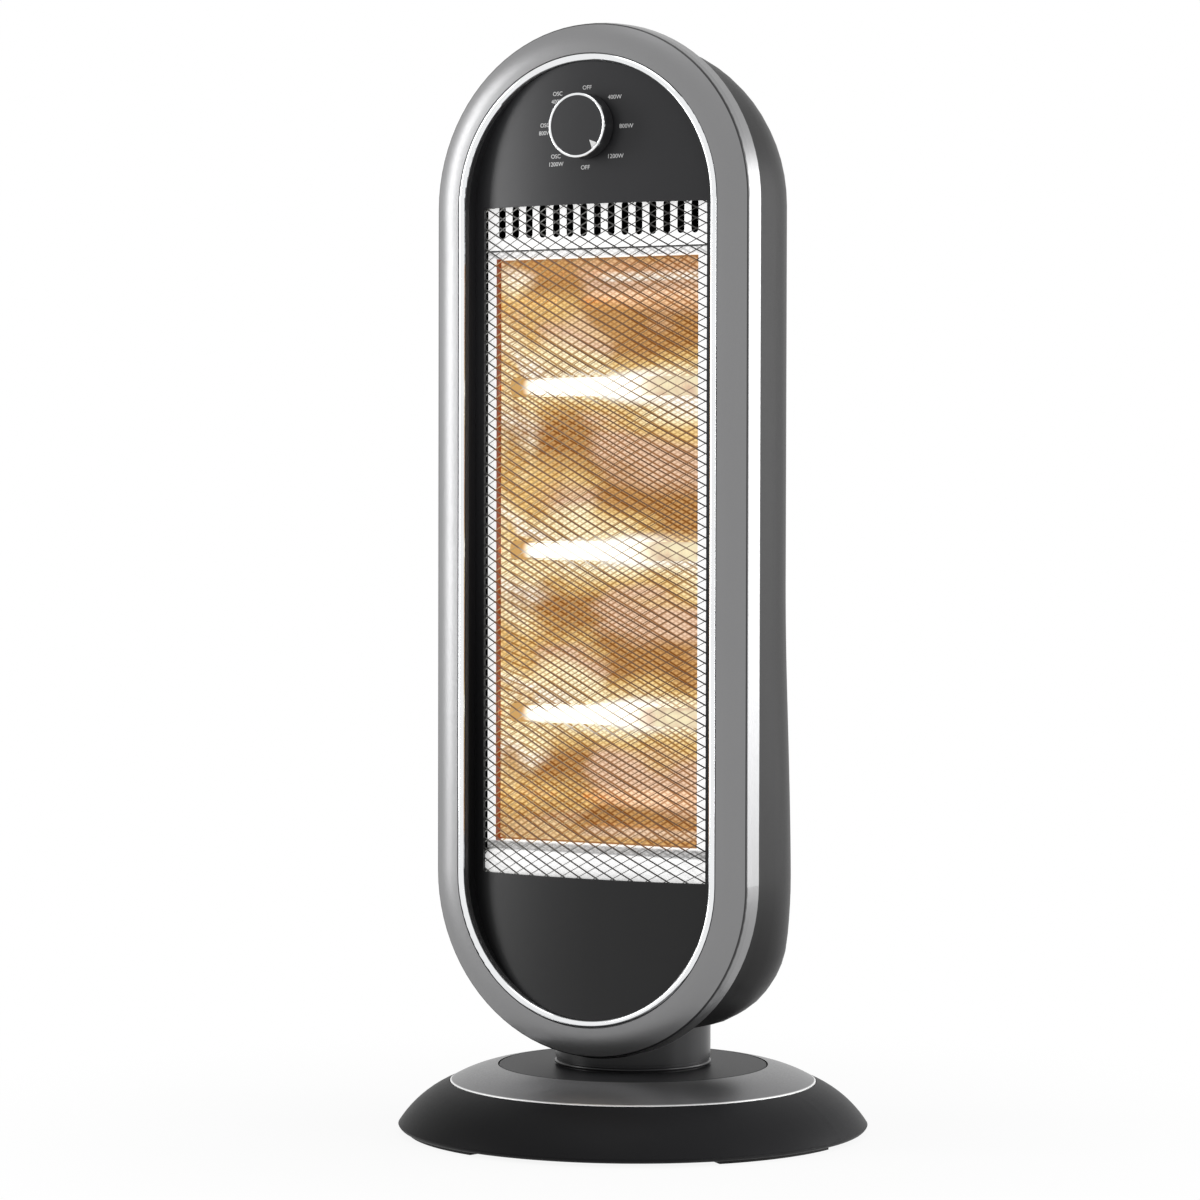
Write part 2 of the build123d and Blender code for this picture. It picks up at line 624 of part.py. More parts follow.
with BuildPart() as tip_switch_plunger:
    rods_upright(tip_place, TIP_STEM_RADIUS, 0.0, TIP_FLANGE_Z)
    rods_upright(tip_place, TIP_FLANGE_RADIUS, TIP_FLANGE_Z, SPRING_BOTTOM_Z)
    rods_upright(tip_place, 2.2, SPRING_BOTTOM_Z, SPRING_BOTTOM_Z + 3.5)
    fillet(tip_switch_plunger.edges().group_by(Axis.Z)[0], 0.8)
tip_switch_plunger.part.label = "tip_switch_plunger"
export_step(tip_switch_plunger.part, "parts/tip_switch_plunger.step")

with BuildPart() as tip_switch_spring:
    spring_height = TIP_CAVITY_TOP_Z - SPRING_BOTTOM_Z - 2 * SPRING_WIRE_RADIUS
    with BuildLine() as spring_path:
        Helix(
            pitch=spring_height / SPRING_TURNS,
            height=spring_height,
            radius=SPRING_COIL_RADIUS,
            center=(TIP_X, TIP_Y, SPRING_BOTTOM_Z + SPRING_WIRE_RADIUS),
        )
    with BuildSketch(Plane(origin=spring_path.line @ 0, z_dir=spring_path.line % 0)):
        Circle(SPRING_WIRE_RADIUS)
    sweep(path=spring_path.line, is_frenet=True)
tip_switch_spring.part.label = "tip_switch_spring"
export_step(tip_switch_spring.part, "parts/tip_switch_spring.step")

# Supply lead through the neck, in two halves that meet on the swing axis
with BuildPart() as lower_lead:
    with BuildLine() as lower_lead_path:
        FilletPolyline(
            (0, 0, LEAD_SPLIT_Z - 0.2),
            (0, 0, LEAD_RUN_Z),
            (0, LEAD_END_Y, LEAD_RUN_Z),
            (0, LEAD_END_Y, PLATE_TOP_Z + BASE_BLOCK_HEIGHT),
            radius=LEAD_BEND_RADIUS,
        )
    with BuildSketch(Plane(origin=lower_lead_path.line @ 0, z_dir=lower_lead_path.line % 0)):
        Circle(LEAD_RADIUS)
    sweep(path=lower_lead_path.line)
lower_lead.part.label = "lower_lead"
export_step(lower_lead.part, "parts/lower_lead.step")

with BuildPart() as upper_lead:
    block_entry_z = SHELL_FLOOR_Z + 7.0
    with BuildLine() as upper_lead_path:
        FilletPolyline(
            (0, 0, LEAD_SPLIT_Z),
            (0, 0, block_entry_z),
            (0, HEAD_BLOCK_FRONT_Y, block_entry_z),
            radius=LEAD_BEND_RADIUS,
        )
    with BuildSketch(Plane(origin=upper_lead_path.line @ 0, z_dir=upper_lead_path.line % 0)):
        Circle(LEAD_RADIUS)
    sweep(path=upper_lead_path.line)
upper_lead.part.label = "upper_lead"
export_step(upper_lead.part, "parts/upper_lead.step")

# Volumes of the rear shell
shell_outer = shell_volume(0.0, BEZEL_BACK_Y)
shell_inner = shell_volume(SHELL_WALL, BEZEL_BACK_Y - 1.0)

# Neck collar: bead at the foot, hub in the disc's bore, bosses under the shell's floor
with BuildPart() as neck_collar:
    with BuildSketch(Plane.XZ):
        with BuildLine():
            Polyline(
                (HUB_BORE_RADIUS, HUB_BOTTOM_Z),
                (HUB_RADIUS, HUB_BOTTOM_Z),
                (HUB_RADIUS, washer_top_z),
                (BEAD_FOOT_RADIUS, washer_top_z),
            )
            ThreePointArc(
                (BEAD_FOOT_RADIUS, washer_top_z),
                (BEAD_RADIUS, washer_top_z + BEAD_HEIGHT / 2),
                (BEAD_FOOT_RADIUS, washer_top_z + BEAD_HEIGHT),
            )
            Polyline(
                (BEAD_FOOT_RADIUS, washer_top_z + BEAD_HEIGHT),
                (BEAD_FOOT_RADIUS, GROOVE_BOTTOM_Z),
                (GROOVE_RADIUS, GROOVE_BOTTOM_Z),
                (GROOVE_RADIUS, GROOVE_TOP_Z),
                (NECK_RADIUS, GROOVE_TOP_Z),
                (NECK_RADIUS, NECK_TOP_Z),
                (NECK_RADIUS - NECK_WALL, NECK_TOP_Z),
                (NECK_RADIUS - NECK_WALL, NECK_FLOOR_Z),
                (HUB_BORE_RADIUS, NECK_FLOOR_Z),
                (HUB_BORE_RADIUS, HUB_BOTTOM_Z),
            )
        make_face()
    revolve(axis=Axis.Z)
    neck_boss_points = points_round(NECK_BOSS_CENTRE_RADIUS, (0, 90, 180, 270))
    rods_upright(neck_boss_points, 4.0, NECK_FLOOR_Z, NECK_TOP_Z)
    add(shell_outer, mode=Mode.SUBTRACT)
    rods_along_depth(
        [(0, LOWER_CENTRE_Z)],
        BEZEL_RADIUS + 0.3,
        FRONT_CLEAR_Y,
        BEZEL_BACK_Y + 0.2,
        mode=Mode.SUBTRACT,
    )
    pilot_bottom_z = NECK_FLOOR_Z + 2.0
    rods_upright(
        neck_boss_points,
        NECK_SCREW_RADIUS,
        pilot_bottom_z,
        NECK_TOP_Z,
        mode=Mode.SUBTRACT,
    )
    swing_bore_top = NECK_FLOOR_Z - 0.8
    rods_upright(
        swing_screw_points,
        NECK_SCREW_RADIUS,
        HUB_BOTTOM_Z,
        swing_bore_top,
        mode=Mode.SUBTRACT,
    )
neck_collar.part.label = "neck_collar"
export_step(neck_collar.part, "parts/neck_collar.step")

with BuildPart() as neck_screws:
    rods_upright(neck_boss_points, 3.0, NECK_SEAT_Z, NECK_SEAT_Z + 2.2)
    rods_upright(neck_boss_points, NECK_SCREW_RADIUS, pilot_bottom_z + 1.0, NECK_SEAT_Z)
neck_screws.part.label = "neck_screws"
export_step(neck_screws.part, "parts/neck_screws.step")

# Rear shell with its clamp posts, vents and screw wells
with BuildPart() as shell_wall:
    add(shell_outer)
    add(shell_inner, mode=Mode.SUBTRACT)
with BuildPart() as rear_shell:
    rods_along_depth(clamp_points(), CLAMP_POST_RADIUS, BEZEL_BACK_Y, SHELL_BACK_Y)
    rods_upright(neck_boss_points, 4.4, SHELL_LOWEST_Z, NECK_SEAT_Z)
    add(shell_outer, mode=Mode.INTERSECT)
    rods_along_depth(clamp_points(), CLAMP_POST_RADIUS, PANEL_FLANGE_BACK_Y, BEZEL_BACK_Y)
    add(shell_wall.part)
    for group_z in (UPPER_VENTS_Z, LOWER_VENTS_Z):
        with BuildSketch(depth_plane(SWELL_HALF_DEPTH)):
            with Locations((0, group_z)):
                with GridLocations(0, VENT_PITCH, 1, VENT_ROWS):
                    SlotOverall(VENT_LENGTH, VENT_HEIGHT)
        extrude(amount=SWELL_HALF_DEPTH - SHELL_BACK_Y + 6.0, mode=Mode.SUBTRACT)
    for radius, front_y, back_y in (
        (CLAMP_WELL_RADIUS, CLAMP_SEAT_Y, SHELL_BACK_Y),
        (CLAMP_HOLE_RADIUS, PANEL_FLANGE_BACK_Y, CLAMP_SEAT_Y),
    ):
        rods_along_depth(clamp_points(), radius, front_y, back_y, mode=Mode.SUBTRACT)
    rods_upright(neck_boss_points, 1.5, SHELL_LOWEST_Z - 1.0, NECK_SEAT_Z, mode=Mode.SUBTRACT)
    rods_upright(neck_boss_points, 3.4, NECK_SEAT_Z, NECK_SEAT_Z + 8.0, mode=Mode.SUBTRACT)
    lead_hole = LEAD_RADIUS + 1.0
    rods_upright([(0, 0)], lead_hole, SHELL_LOWEST_Z - 1.0, SHELL_FLOOR_Z + 1.0, mode=Mode.SUBTRACT)
rear_shell.part.label = "rear_shell"
export_step(rear_shell.part, "parts/rear_shell.step")

with BuildPart() as shell_screws:
    rods_along_depth(clamp_points(), CLAMP_HEAD_RADIUS, CLAMP_SEAT_Y, CLAMP_SEAT_Y + 2.0)
    rods_along_depth(clamp_points(), CLAMP_SHANK_RADIUS, CLAMP_TIP_Y, CLAMP_SEAT_Y)
shell_screws.part.label = "shell_screws"
export_step(shell_screws.part, "parts/shell_screws.step")


def draw_bezel_section(side):
    """Section of the bezel: outer wall, sloping face, ring seat, inner lip, rear flange."""
    def at(radius, y):
        return (side * radius, y)

    with BuildLine() as outline:
        Polyline(at(BEZEL_RADIUS, BEZEL_BACK_Y), at(93.7, -42.0), at(93.1, -45.6))
        ThreePointArc(at(93.1, -45.6), at(92.9, -46.3), at(BEZEL_FACE_RADIUS, -46.7))
        ThreePointArc(at(BEZEL_FACE_RADIUS, -46.7), at(85.5, -49.8), at(77.6, -51.3))
        Polyline(
            at(77.6, -51.3),
            at(77.6, BEZEL_SEAT_Y),
            at(BEZEL_INNER_RADIUS, BEZEL_SEAT_Y),
            at(BEZEL_INNER_RADIUS, BEZEL_LIP_BACK_Y),
            at(82.0, BEZEL_LIP_BACK_Y),
            at(90.2, -44.2),
            at(91.4, -41.5),
            at(91.6, BEZEL_BACK_Y - 2.2),
            at(BEZEL_FLANGE_RADIUS, BEZEL_BACK_Y - 2.2),
            at(BEZEL_FLANGE_RADIUS, BEZEL_BACK_Y),
            at(BEZEL_RADIUS, BEZEL_BACK_Y),
        )
    make_face(outline.line)


with BuildPart() as front_bezel:
    carry_round_head(draw_bezel_section)
    for radius, mode in ((BEZEL_BOSS_RADIUS, Mode.ADD), (CLAMP_SHANK_RADIUS, Mode.SUBTRACT)):
        rods_along_depth(clamp_points(), radius, BEZEL_LIP_BACK_Y, PANEL_FLANGE_FRONT_Y, mode)
front_bezel.part.label = "front_bezel"
export_step(front_bezel.part, "parts/front_bezel.step")


def draw_ring_section(side):
    """Half-round section of the bright ring."""
    middle = (BEZEL_INNER_RADIUS + RING_OUTER_RADIUS) / 2
    with BuildLine() as outline:
        Polyline(
            (side * RING_OUTER_RADIUS, RING_EDGE_Y),
            (side * RING_OUTER_RADIUS, BEZEL_SEAT_Y),
            (side * BEZEL_INNER_RADIUS, BEZEL_SEAT_Y),
            (side * BEZEL_INNER_RADIUS, RING_EDGE_Y),
        )
        ThreePointArc(
            (side * BEZEL_INNER_RADIUS, RING_EDGE_Y),
            (side * middle, RING_CROWN_Y),
            (side * RING_OUTER_RADIUS, RING_EDGE_Y),
        )
    make_face(outline.line)


with BuildPart() as chrome_ring:
    carry_round_head(draw_ring_section)
chrome_ring.part.label = "chrome_ring"
export_step(chrome_ring.part, "parts/chrome_ring.step")


def bowed_block(inset, back_y):
    """Block that fills the head's height from the bowed front to one depth."""
    half = PANEL_RADIUS + 1.0
    edge_y = bow_y(half, inset)
    with BuildSketch(Plane.XY.offset(LOWER_CENTRE_Z - half)) as outline:
        with BuildLine():
            ThreePointArc((-half, edge_y), (0, bow_y(0, inset)), (half, edge_y))
            Polyline((half, edge_y), (half, back_y), (-half, back_y), (-half, edge_y))
        make_face()
    extrude(outline.sketch, amount=STRAIGHT + 2 * half)


# Black front panel: bowed face with its two half-moons, inner wall, collar and flange
with BuildPart() as panel_cavity:
    bowed_block(BOW_THICKNESS, 0.0)
    round_ended_slab(PANEL_RADIUS - PANEL_WALL, FRONT_CLEAR_Y, 0.0, mode=Mode.INTERSECT)
with BuildPart() as front_panel:
    bowed_block(0.0, PANEL_FLANGE_BACK_Y)
    round_ended_slab(PANEL_RADIUS, FRONT_CLEAR_Y, 0.0, mode=Mode.INTERSECT)
    for inner, outer, front_y in (
        (PANEL_RADIUS, PANEL_COLLAR_RADIUS, BEZEL_LIP_BACK_Y),
        (PANEL_COLLAR_RADIUS, PANEL_FLANGE_RADIUS, PANEL_FLANGE_FRONT_Y),
    ):
        carry_round_head(band_section(inner, outer, front_y, PANEL_FLANGE_BACK_Y))
    add(panel_cavity.part, mode=Mode.SUBTRACT)
    with BuildSketch(depth_plane(FRONT_CLEAR_Y)):
        with Locations((0, MIDDLE_Z)):
            Rectangle(2 * OPENING_HALF_WIDTH, STRAIGHT)
    extrude(amount=-40.0, mode=Mode.SUBTRACT)
    screw_rows = (
        VENT_PLATE_TOP_Z - REFLECTOR_SCREW_INSET,
        LIP_TAB_BOTTOM_Z + REFLECTOR_SCREW_INSET,
    )
    reflector_points = [(x, z) for x in (-REFLECTOR_SCREW_X, REFLECTOR_SCREW_X) for z in screw_rows]
    boss_front_y = bow_y(REFLECTOR_SCREW_X, BOW_THICKNESS) - 0.6
    rods_along_depth(reflector_points, 3.2, boss_front_y, PAN_FLANGE_Y)
    rods_along_depth(reflector_points, 1.4, boss_front_y + 1.0, PAN_FLANGE_Y, mode=Mode.SUBTRACT)
    switch_screw_points = [(-SWITCH_SCREW_X, DIAL_Z), (SWITCH_SCREW_X, DIAL_Z)]
    pad_front_y = bow_y(SWITCH_SCREW_X, BOW_THICKNESS) - 0.3
    rods_along_depth(switch_screw_points, 3.2, pad_front_y, SWITCH_FRONT_Y)
    for points, radius, front_y, back_y in (
        (switch_screw_points, SWITCH_SCREW_RADIUS, FRONT_CLEAR_Y, SWITCH_FRONT_Y),
        ([(0, DIAL_Z)], SHAFT_HOLE_RADIUS, FRONT_CLEAR_Y, SWITCH_FRONT_Y),
        (clamp_points(), CLAMP_HOLE_RADIUS, PANEL_FLANGE_FRONT_Y - 1.2, PANEL_FLANGE_BACK_Y),
    ):
        rods_along_depth(points, radius, front_y, back_y, mode=Mode.SUBTRACT)
front_panel.part.label = "front_panel"
export_step(front_panel.part, "parts/front_panel.step")

# Bowed guard held between the panel and the reflector
with BuildPart() as guard_mesh:
    edge = GUARD_HALF_WIDTH
    front_inset = BOW_THICKNESS
    back_inset = BOW_THICKNESS + GUARD_THICKNESS
    front_edge_y = bow_y(edge, front_inset)
    back_edge_y = bow_y(edge, back_inset)
    with BuildSketch(Plane.XY.offset(LOWER_CENTRE_Z - GUARD_MARGIN)):
        with BuildLine():
            ThreePointArc((-edge, front_edge_y), (0, bow_y(0, front_inset)), (edge, front_edge_y))
            Line((edge, front_edge_y), (edge, back_edge_y))
            ThreePointArc((edge, back_edge_y), (0, bow_y(0, back_inset)), (-edge, back_edge_y))
            Line((-edge, back_edge_y), (-edge, front_edge_y))
        make_face()
    extrude(amount=STRAIGHT + 2 * GUARD_MARGIN)
    half_width = (GUARD_CELL_WIDTH - GUARD_STRAND * 2.0) / 2
    half_height = (GUARD_CELL_HEIGHT - GUARD_STRAND * 1.15) / 2
    with BuildSketch(depth_plane(FRONT_CLEAR_Y)):
        for columns, rows in ((GUARD_COLUMNS, GUARD_ROWS), (GUARD_COLUMNS - 1, GUARD_ROWS - 1)):
            with Locations((0, MIDDLE_Z)):
                with GridLocations(GUARD_CELL_WIDTH, GUARD_CELL_HEIGHT, columns, rows):
                    Polygon(
                        (-half_width, 0), (0, -half_height), (half_width, 0), (0, half_height),
                        align=None,
                    )
    extrude(amount=-40.0, mode=Mode.SUBTRACT)
guard_mesh.part.label = "guard_mesh"
export_step(guard_mesh.part, "parts/guard_mesh.step")


def pan_outline(grow):
    """Outline of the reflector pan in depth and height, grown outward by a sheet."""
    front_y = PAN_FLANGE_Y
    low, high = PAN_BOTTOM_Z - grow, PAN_TOP_Z + grow
    return [
        (front_y, low),
        (PAN_FOLD_Y, low + PAN_FIRST_RISE),
        (PAN_BACK_Y + grow, low + PAN_SECOND_RISE + 0.4 * grow),
        (PAN_BACK_Y + grow, high - PAN_SECOND_RISE - 0.4 * grow),
        (PAN_FOLD_Y, high - PAN_FIRST_RISE),
        (front_y, high),
    ]


# Reflector pan: folded sheet, front flange and holes for the lamp ends
with BuildPart() as reflector_pan:
    for grow, mode in ((SHEET, Mode.ADD), (0.0, Mode.SUBTRACT)):
        half = PAN_HALF_WIDTH + grow
        with BuildSketch(Plane.YZ.offset(-half)):
            with BuildLine():
                Polyline(*pan_outline(grow), close=True)
            make_face()
        extrude(amount=2 * half, mode=mode)
    with BuildSketch(depth_plane(PAN_FLANGE_Y)):
        with Locations((0, (PAN_FLANGE_BOTTOM_Z + PAN_FLANGE_TOP_Z) / 2)):
            Rectangle(2 * PAN_FLANGE_HALF_WIDTH, PAN_FLANGE_TOP_Z - PAN_FLANGE_BOTTOM_Z)
        with Locations((0, (PAN_BOTTOM_Z + PAN_TOP_Z) / 2)):
            Rectangle(2 * PAN_HALF_WIDTH, PAN_TOP_Z - PAN_BOTTOM_Z, mode=Mode.SUBTRACT)
    extrude(amount=-SHEET)
    with BuildSketch(Plane.YZ.offset(-PAN_HALF_WIDTH - 5.0)):
        for lamp_z in LAMP_HEIGHTS.values():
            with Locations((LAMP_Y, lamp_z)):
                Circle(TUBE_HOLE_RADIUS)
    extrude(amount=2 * PAN_HALF_WIDTH + 10.0, mode=Mode.SUBTRACT)
reflector_pan.part.label = "reflector_pan"
export_step(reflector_pan.part, "parts/reflector_pan.step")

# Vent plate above the pan, with its row of slots and a folded lower edge
with BuildPart() as reflector_vent_plate:
    with BuildSketch(depth_plane(PAN_FLANGE_Y)):
        with Locations((0, (PAN_FLANGE_TOP_Z + VENT_PLATE_TOP_Z) / 2)):
            Rectangle(2 * PAN_FLANGE_HALF_WIDTH - 8.0, VENT_PLATE_TOP_Z - PAN_FLANGE_TOP_Z)
        with Locations((0, (PAN_FLANGE_TOP_Z + UPPER_CENTRE_Z) / 2)):
            Rectangle(2 * PAN_FLANGE_HALF_WIDTH, UPPER_CENTRE_Z - PAN_FLANGE_TOP_Z)
        with Locations((0, (SLOT_BOTTOM_Z + SLOT_TOP_Z) / 2)):
            with GridLocations(SLOT_PITCH, 0, SLOT_COUNT, 1):
                SlotOverall(SLOT_TOP_Z - SLOT_BOTTOM_Z, SLOT_WIDTH, rotation=90, mode=Mode.SUBTRACT)
        with Locations(*[(x, screw_rows[0]) for x in (-REFLECTOR_SCREW_X, REFLECTOR_SCREW_X)]):
            Circle(1.6, mode=Mode.SUBTRACT)
    extrude(amount=-SHEET)
    with BuildSketch(Plane.XY.offset(PAN_FLANGE_TOP_Z)):
        with Locations((0, PAN_FLANGE_Y + 4.0)):
            Rectangle(2 * PAN_FLANGE_HALF_WIDTH, 8.0)
    extrude(amount=SHEET)
reflector_vent_plate.part.label = "reflector_vent_plate"
export_step(reflector_vent_plate.part, "parts/reflector_vent_plate.step")

# Lower lip: a round-ended bright bar with tabs behind the lower half-moon
with BuildPart() as reflector_lip:
    with BuildSketch(depth_plane(PAN_FLANGE_Y)):
        with Locations((0, (LIP_BOTTOM_Z + LIP_TOP_Z) / 2)):
            SlotOverall(2 * LIP_HALF_WIDTH, LIP_TOP_Z - LIP_BOTTOM_Z)
    extrude(amount=-LIP_THICKNESS)
    front_rim = reflector_lip.edges().group_by(Axis.Y)[0]
    fillet(front_rim, 1.6)
    with BuildSketch(depth_plane(PAN_FLANGE_Y)):
        tab_top_z = LIP_BOTTOM_Z + 3.0
        for x in (-REFLECTOR_SCREW_X, REFLECTOR_SCREW_X):
            with Locations((x, (LIP_TAB_BOTTOM_Z + tab_top_z) / 2)):
                Rectangle(LIP_TAB_WIDTH, tab_top_z - LIP_TAB_BOTTOM_Z)
        with Locations(*[(x, screw_rows[1]) for x in (-REFLECTOR_SCREW_X, REFLECTOR_SCREW_X)]):
            Circle(1.6, mode=Mode.SUBTRACT)
    extrude(amount=-SHEET)
reflector_lip.part.label = "reflector_lip"
export_step(reflector_lip.part, "parts/reflector_lip.step")

with BuildPart() as reflector_screws:
    rods_along_depth(reflector_points, 2.8, PAN_FLANGE_Y + SHEET, PAN_FLANGE_Y + SHEET + 1.6)
    rods_along_depth(reflector_points, 1.35, boss_front_y + 1.2, PAN_FLANGE_Y + SHEET)
reflector_screws.part.label = "reflector_screws"
export_step(reflector_screws.part, "parts/reflector_screws.step")


def lamp_disc(radius, start_x, length, lamp_z, mode=Mode.ADD):
    """Round bar along X at one lamp's height."""
    with BuildSketch(Plane.YZ.offset(start_x)) as outline:
        with Locations((LAMP_Y, lamp_z)):
            Circle(radius)
    extrude(outline.sketch, amount=length, mode=mode)


# Three lamps, each a quartz tube with its filament and a ceramic cap at each end
for place, lamp_z in LAMP_HEIGHTS.items():
    with BuildPart() as lamp_tube:
        lamp_disc(TUBE_RADIUS, -TUBE_HALF_LENGTH, 2 * TUBE_HALF_LENGTH, lamp_z)
        bore_half = TUBE_HALF_LENGTH - TUBE_END_THICKNESS
        lamp_disc(TUBE_RADIUS - TUBE_WALL, -bore_half, 2 * bore_half, lamp_z, mode=Mode.SUBTRACT)
    lamp_tube.part.label = f"lamp_tube_{place}"
    export_step(lamp_tube.part, f"parts/lamp_tube_{place}.step")

    with BuildPart() as lamp_filament:
        lamp_disc(FILAMENT_RADIUS, -FILAMENT_HALF_LENGTH, 2 * FILAMENT_HALF_LENGTH, lamp_z)
        lead_length = bore_half - FILAMENT_HALF_LENGTH
        for start_x in (FILAMENT_HALF_LENGTH, -bore_half):
            lamp_disc(FILAMENT_LEAD_RADIUS, start_x, lead_length, lamp_z)
    lamp_filament.part.label = f"lamp_filament_{place}"
    export_step(lamp_filament.part, f"parts/lamp_filament_{place}.step")

    with BuildPart() as lamp_caps:
        for start_x in (CAP_START_X, -CAP_END_X):
            with BuildSketch(Plane.YZ.offset(start_x)):
                with Locations((LAMP_Y, lamp_z)):
                    RectangleRounded(CAP_SIZE, CAP_SIZE, 2.0)
            extrude(amount=CAP_END_X - CAP_START_X)
        lamp_disc(TUBE_RADIUS, -TUBE_HALF_LENGTH, 2 * TUBE_HALF_LENGTH, lamp_z, mode=Mode.SUBTRACT)
    lamp_caps.part.label = f"lamp_caps_{place}"
    export_step(lamp_caps.part, f"parts/lamp_caps_{place}.step")

# Steel rails that hold the lamp caps to the pan's sides
with BuildPart() as lamp_rails:
    wall_x = PAN_HALF_WIDTH + SHEET
    for side in (-1, 1):
        with BuildSketch(Plane.XZ.offset(-LAMP_Y - RAIL_WIDTH / 2)):
            with BuildLine():
                Polyline(
                    (side * wall_x, RAIL_BOTTOM_Z),
                    (side * (CAP_END_X + RAIL_THICKNESS), RAIL_BOTTOM_Z),
                    (side * (CAP_END_X + RAIL_THICKNESS), RAIL_TOP_Z),
                    (side * wall_x, RAIL_TOP_Z),
                    (side * wall_x, RAIL_TOP_Z - RAIL_THICKNESS),
                    (side * CAP_END_X, RAIL_TOP_Z - RAIL_THICKNESS),
                    (side * CAP_END_X, RAIL_BOTTOM_Z + RAIL_THICKNESS),
                    (side * wall_x, RAIL_BOTTOM_Z + RAIL_THICKNESS),
                    close=True,
                )
            make_face()
        extrude(amount=RAIL_WIDTH)
lamp_rails.part.label = "lamp_rails"
export_step(lamp_rails.part, "parts/lamp_rails.step")

# Rotary switch behind the panel
with BuildPart() as rotary_switch:
    with BuildSketch(depth_plane(SWITCH_FRONT_Y)):
        with Locations((0, DIAL_Z)):
            RectangleRounded(SWITCH_SIZE, SWITCH_SIZE, 4.0)
    extrude(amount=-(SWITCH_BACK_Y - SWITCH_FRONT_Y))
    for points, radius, back_y in (
        ([(0, DIAL_Z)], SWITCH_SHAFT_RADIUS + 0.05, SWITCH_BUSH_END_Y + 0.2),
        (switch_screw_points, SWITCH_SCREW_RADIUS, SWITCH_BUSH_END_Y),
    ):
        rods_along_depth(points, radius, SWITCH_FRONT_Y, back_y, mode=Mode.SUBTRACT)
    with BuildSketch(depth_plane(SWITCH_BACK_Y)):
        with Locations((0, DIAL_Z)):
            with GridLocations(TERMINAL_X, 2 * TERMINAL_RISE, 3, 2):
                Rectangle(4.0, 0.8)
    extrude(amount=-TERMINAL_LENGTH)
rotary_switch.part.label = "rotary_switch"
export_step(rotary_switch.part, "parts/rotary_switch.step")

with BuildPart() as switch_screws:
    rods_along_depth(switch_screw_points, 1.25, -50.0, -39.0)
    rods_along_depth(switch_screw_points, 2.5, -51.4, bow_y(SWITCH_SCREW_X - 2.5) - 0.03)
switch_screws.part.label = "switch_screws"
export_step(switch_screws.part, "parts/switch_screws.step")


def wedge_prism(front_y, thickness, mode=Mode.ADD):
    """Three-sided pointer on the knob's face, at the angle it points to."""
    across = sin(radians(POINTER_ANGLE))
    up = cos(radians(POINTER_ANGLE))

    def at(distance, aside):
        return (distance * across + aside * up, DIAL_Z + distance * up - aside * across)

    with BuildSketch(depth_plane(front_y)) as outline:
        Polygon(
            at(POINTER_TIP, 0),
            at(POINTER_BASE, POINTER_HALF_WIDTH),
            at(POINTER_BASE, -POINTER_HALF_WIDTH),
            align=None,
        )
    extrude(outline.sketch, amount=-thickness, mode=mode)


# Switch shaft, knob, its bright ring and its pointer
with BuildPart() as switch_shaft:
    shaft_front_y = KNOB_FRONT_Y + KNOB_WALL + 0.6
    rods_along_depth([(0, DIAL_Z)], SWITCH_SHAFT_RADIUS, shaft_front_y, SWITCH_BUSH_END_Y)
switch_shaft.part.label = "switch_shaft"
export_step(switch_shaft.part, "parts/switch_shaft.step")

with BuildPart() as control_knob:
    knob_axis = Axis((0, 0, DIAL_Z), (0, 1, 0))
    ring_inner = KNOB_RADIUS - KNOB_RING_WIDTH
    ring_back_y = KNOB_FRONT_Y + KNOB_RING_DEPTH
    face_edge_y = KNOB_FRONT_Y + KNOB_FACE_INSET
    face_middle_y = KNOB_FRONT_Y + 0.1
    web_y = KNOB_FRONT_Y + KNOB_WALL
    with BuildSketch(Plane.XY.offset(DIAL_Z)):
        with BuildLine():
            Polyline(
                (0, face_middle_y),
                (0, web_y),
                (ring_inner - KNOB_WALL, web_y),
                (KNOB_RADIUS - KNOB_WALL, KNOB_BACK_Y),
                (KNOB_RADIUS, KNOB_BACK_Y),
                (KNOB_RADIUS - 0.5, ring_back_y),
                (ring_inner, ring_back_y),
                (ring_inner, face_edge_y),
            )
            ThreePointArc(
                (ring_inner, face_edge_y),
                (ring_inner / 2, face_middle_y + 0.1),
                (0, face_middle_y),
            )
        make_face()
    revolve(axis=knob_axis)
    rods_along_depth([(0, DIAL_Z)], KNOB_HUB_RADIUS, web_y, KNOB_BACK_Y)
    rods_along_depth(
        [(0, DIAL_Z)],
        SWITCH_SHAFT_RADIUS,
        shaft_front_y,
        KNOB_BACK_Y,
        mode=Mode.SUBTRACT,
    )
    wedge_prism(KNOB_FRONT_Y - 1.0, POINTER_THICKNESS + 1.0, mode=Mode.SUBTRACT)
control_knob.part.label = "control_knob"
export_step(control_knob.part, "parts/control_knob.step")

with BuildPart() as knob_pointer:
    wedge_prism(KNOB_FRONT_Y, POINTER_THICKNESS)
knob_pointer.part.label = "knob_pointer"
export_step(knob_pointer.part, "parts/knob_pointer.step")

with BuildPart() as knob_ring:
    rods_along_depth([(0, DIAL_Z)], KNOB_RADIUS, KNOB_FRONT_Y, ring_back_y)
    rods_along_depth([(0, DIAL_Z)], ring_inner, KNOB_FRONT_Y, ring_back_y, mode=Mode.SUBTRACT)
    fillet(knob_ring.edges().group_by(Axis.Y)[0], 0.45)
knob_ring.part.label = "knob_ring"
export_step(knob_ring.part, "parts/knob_ring.step")

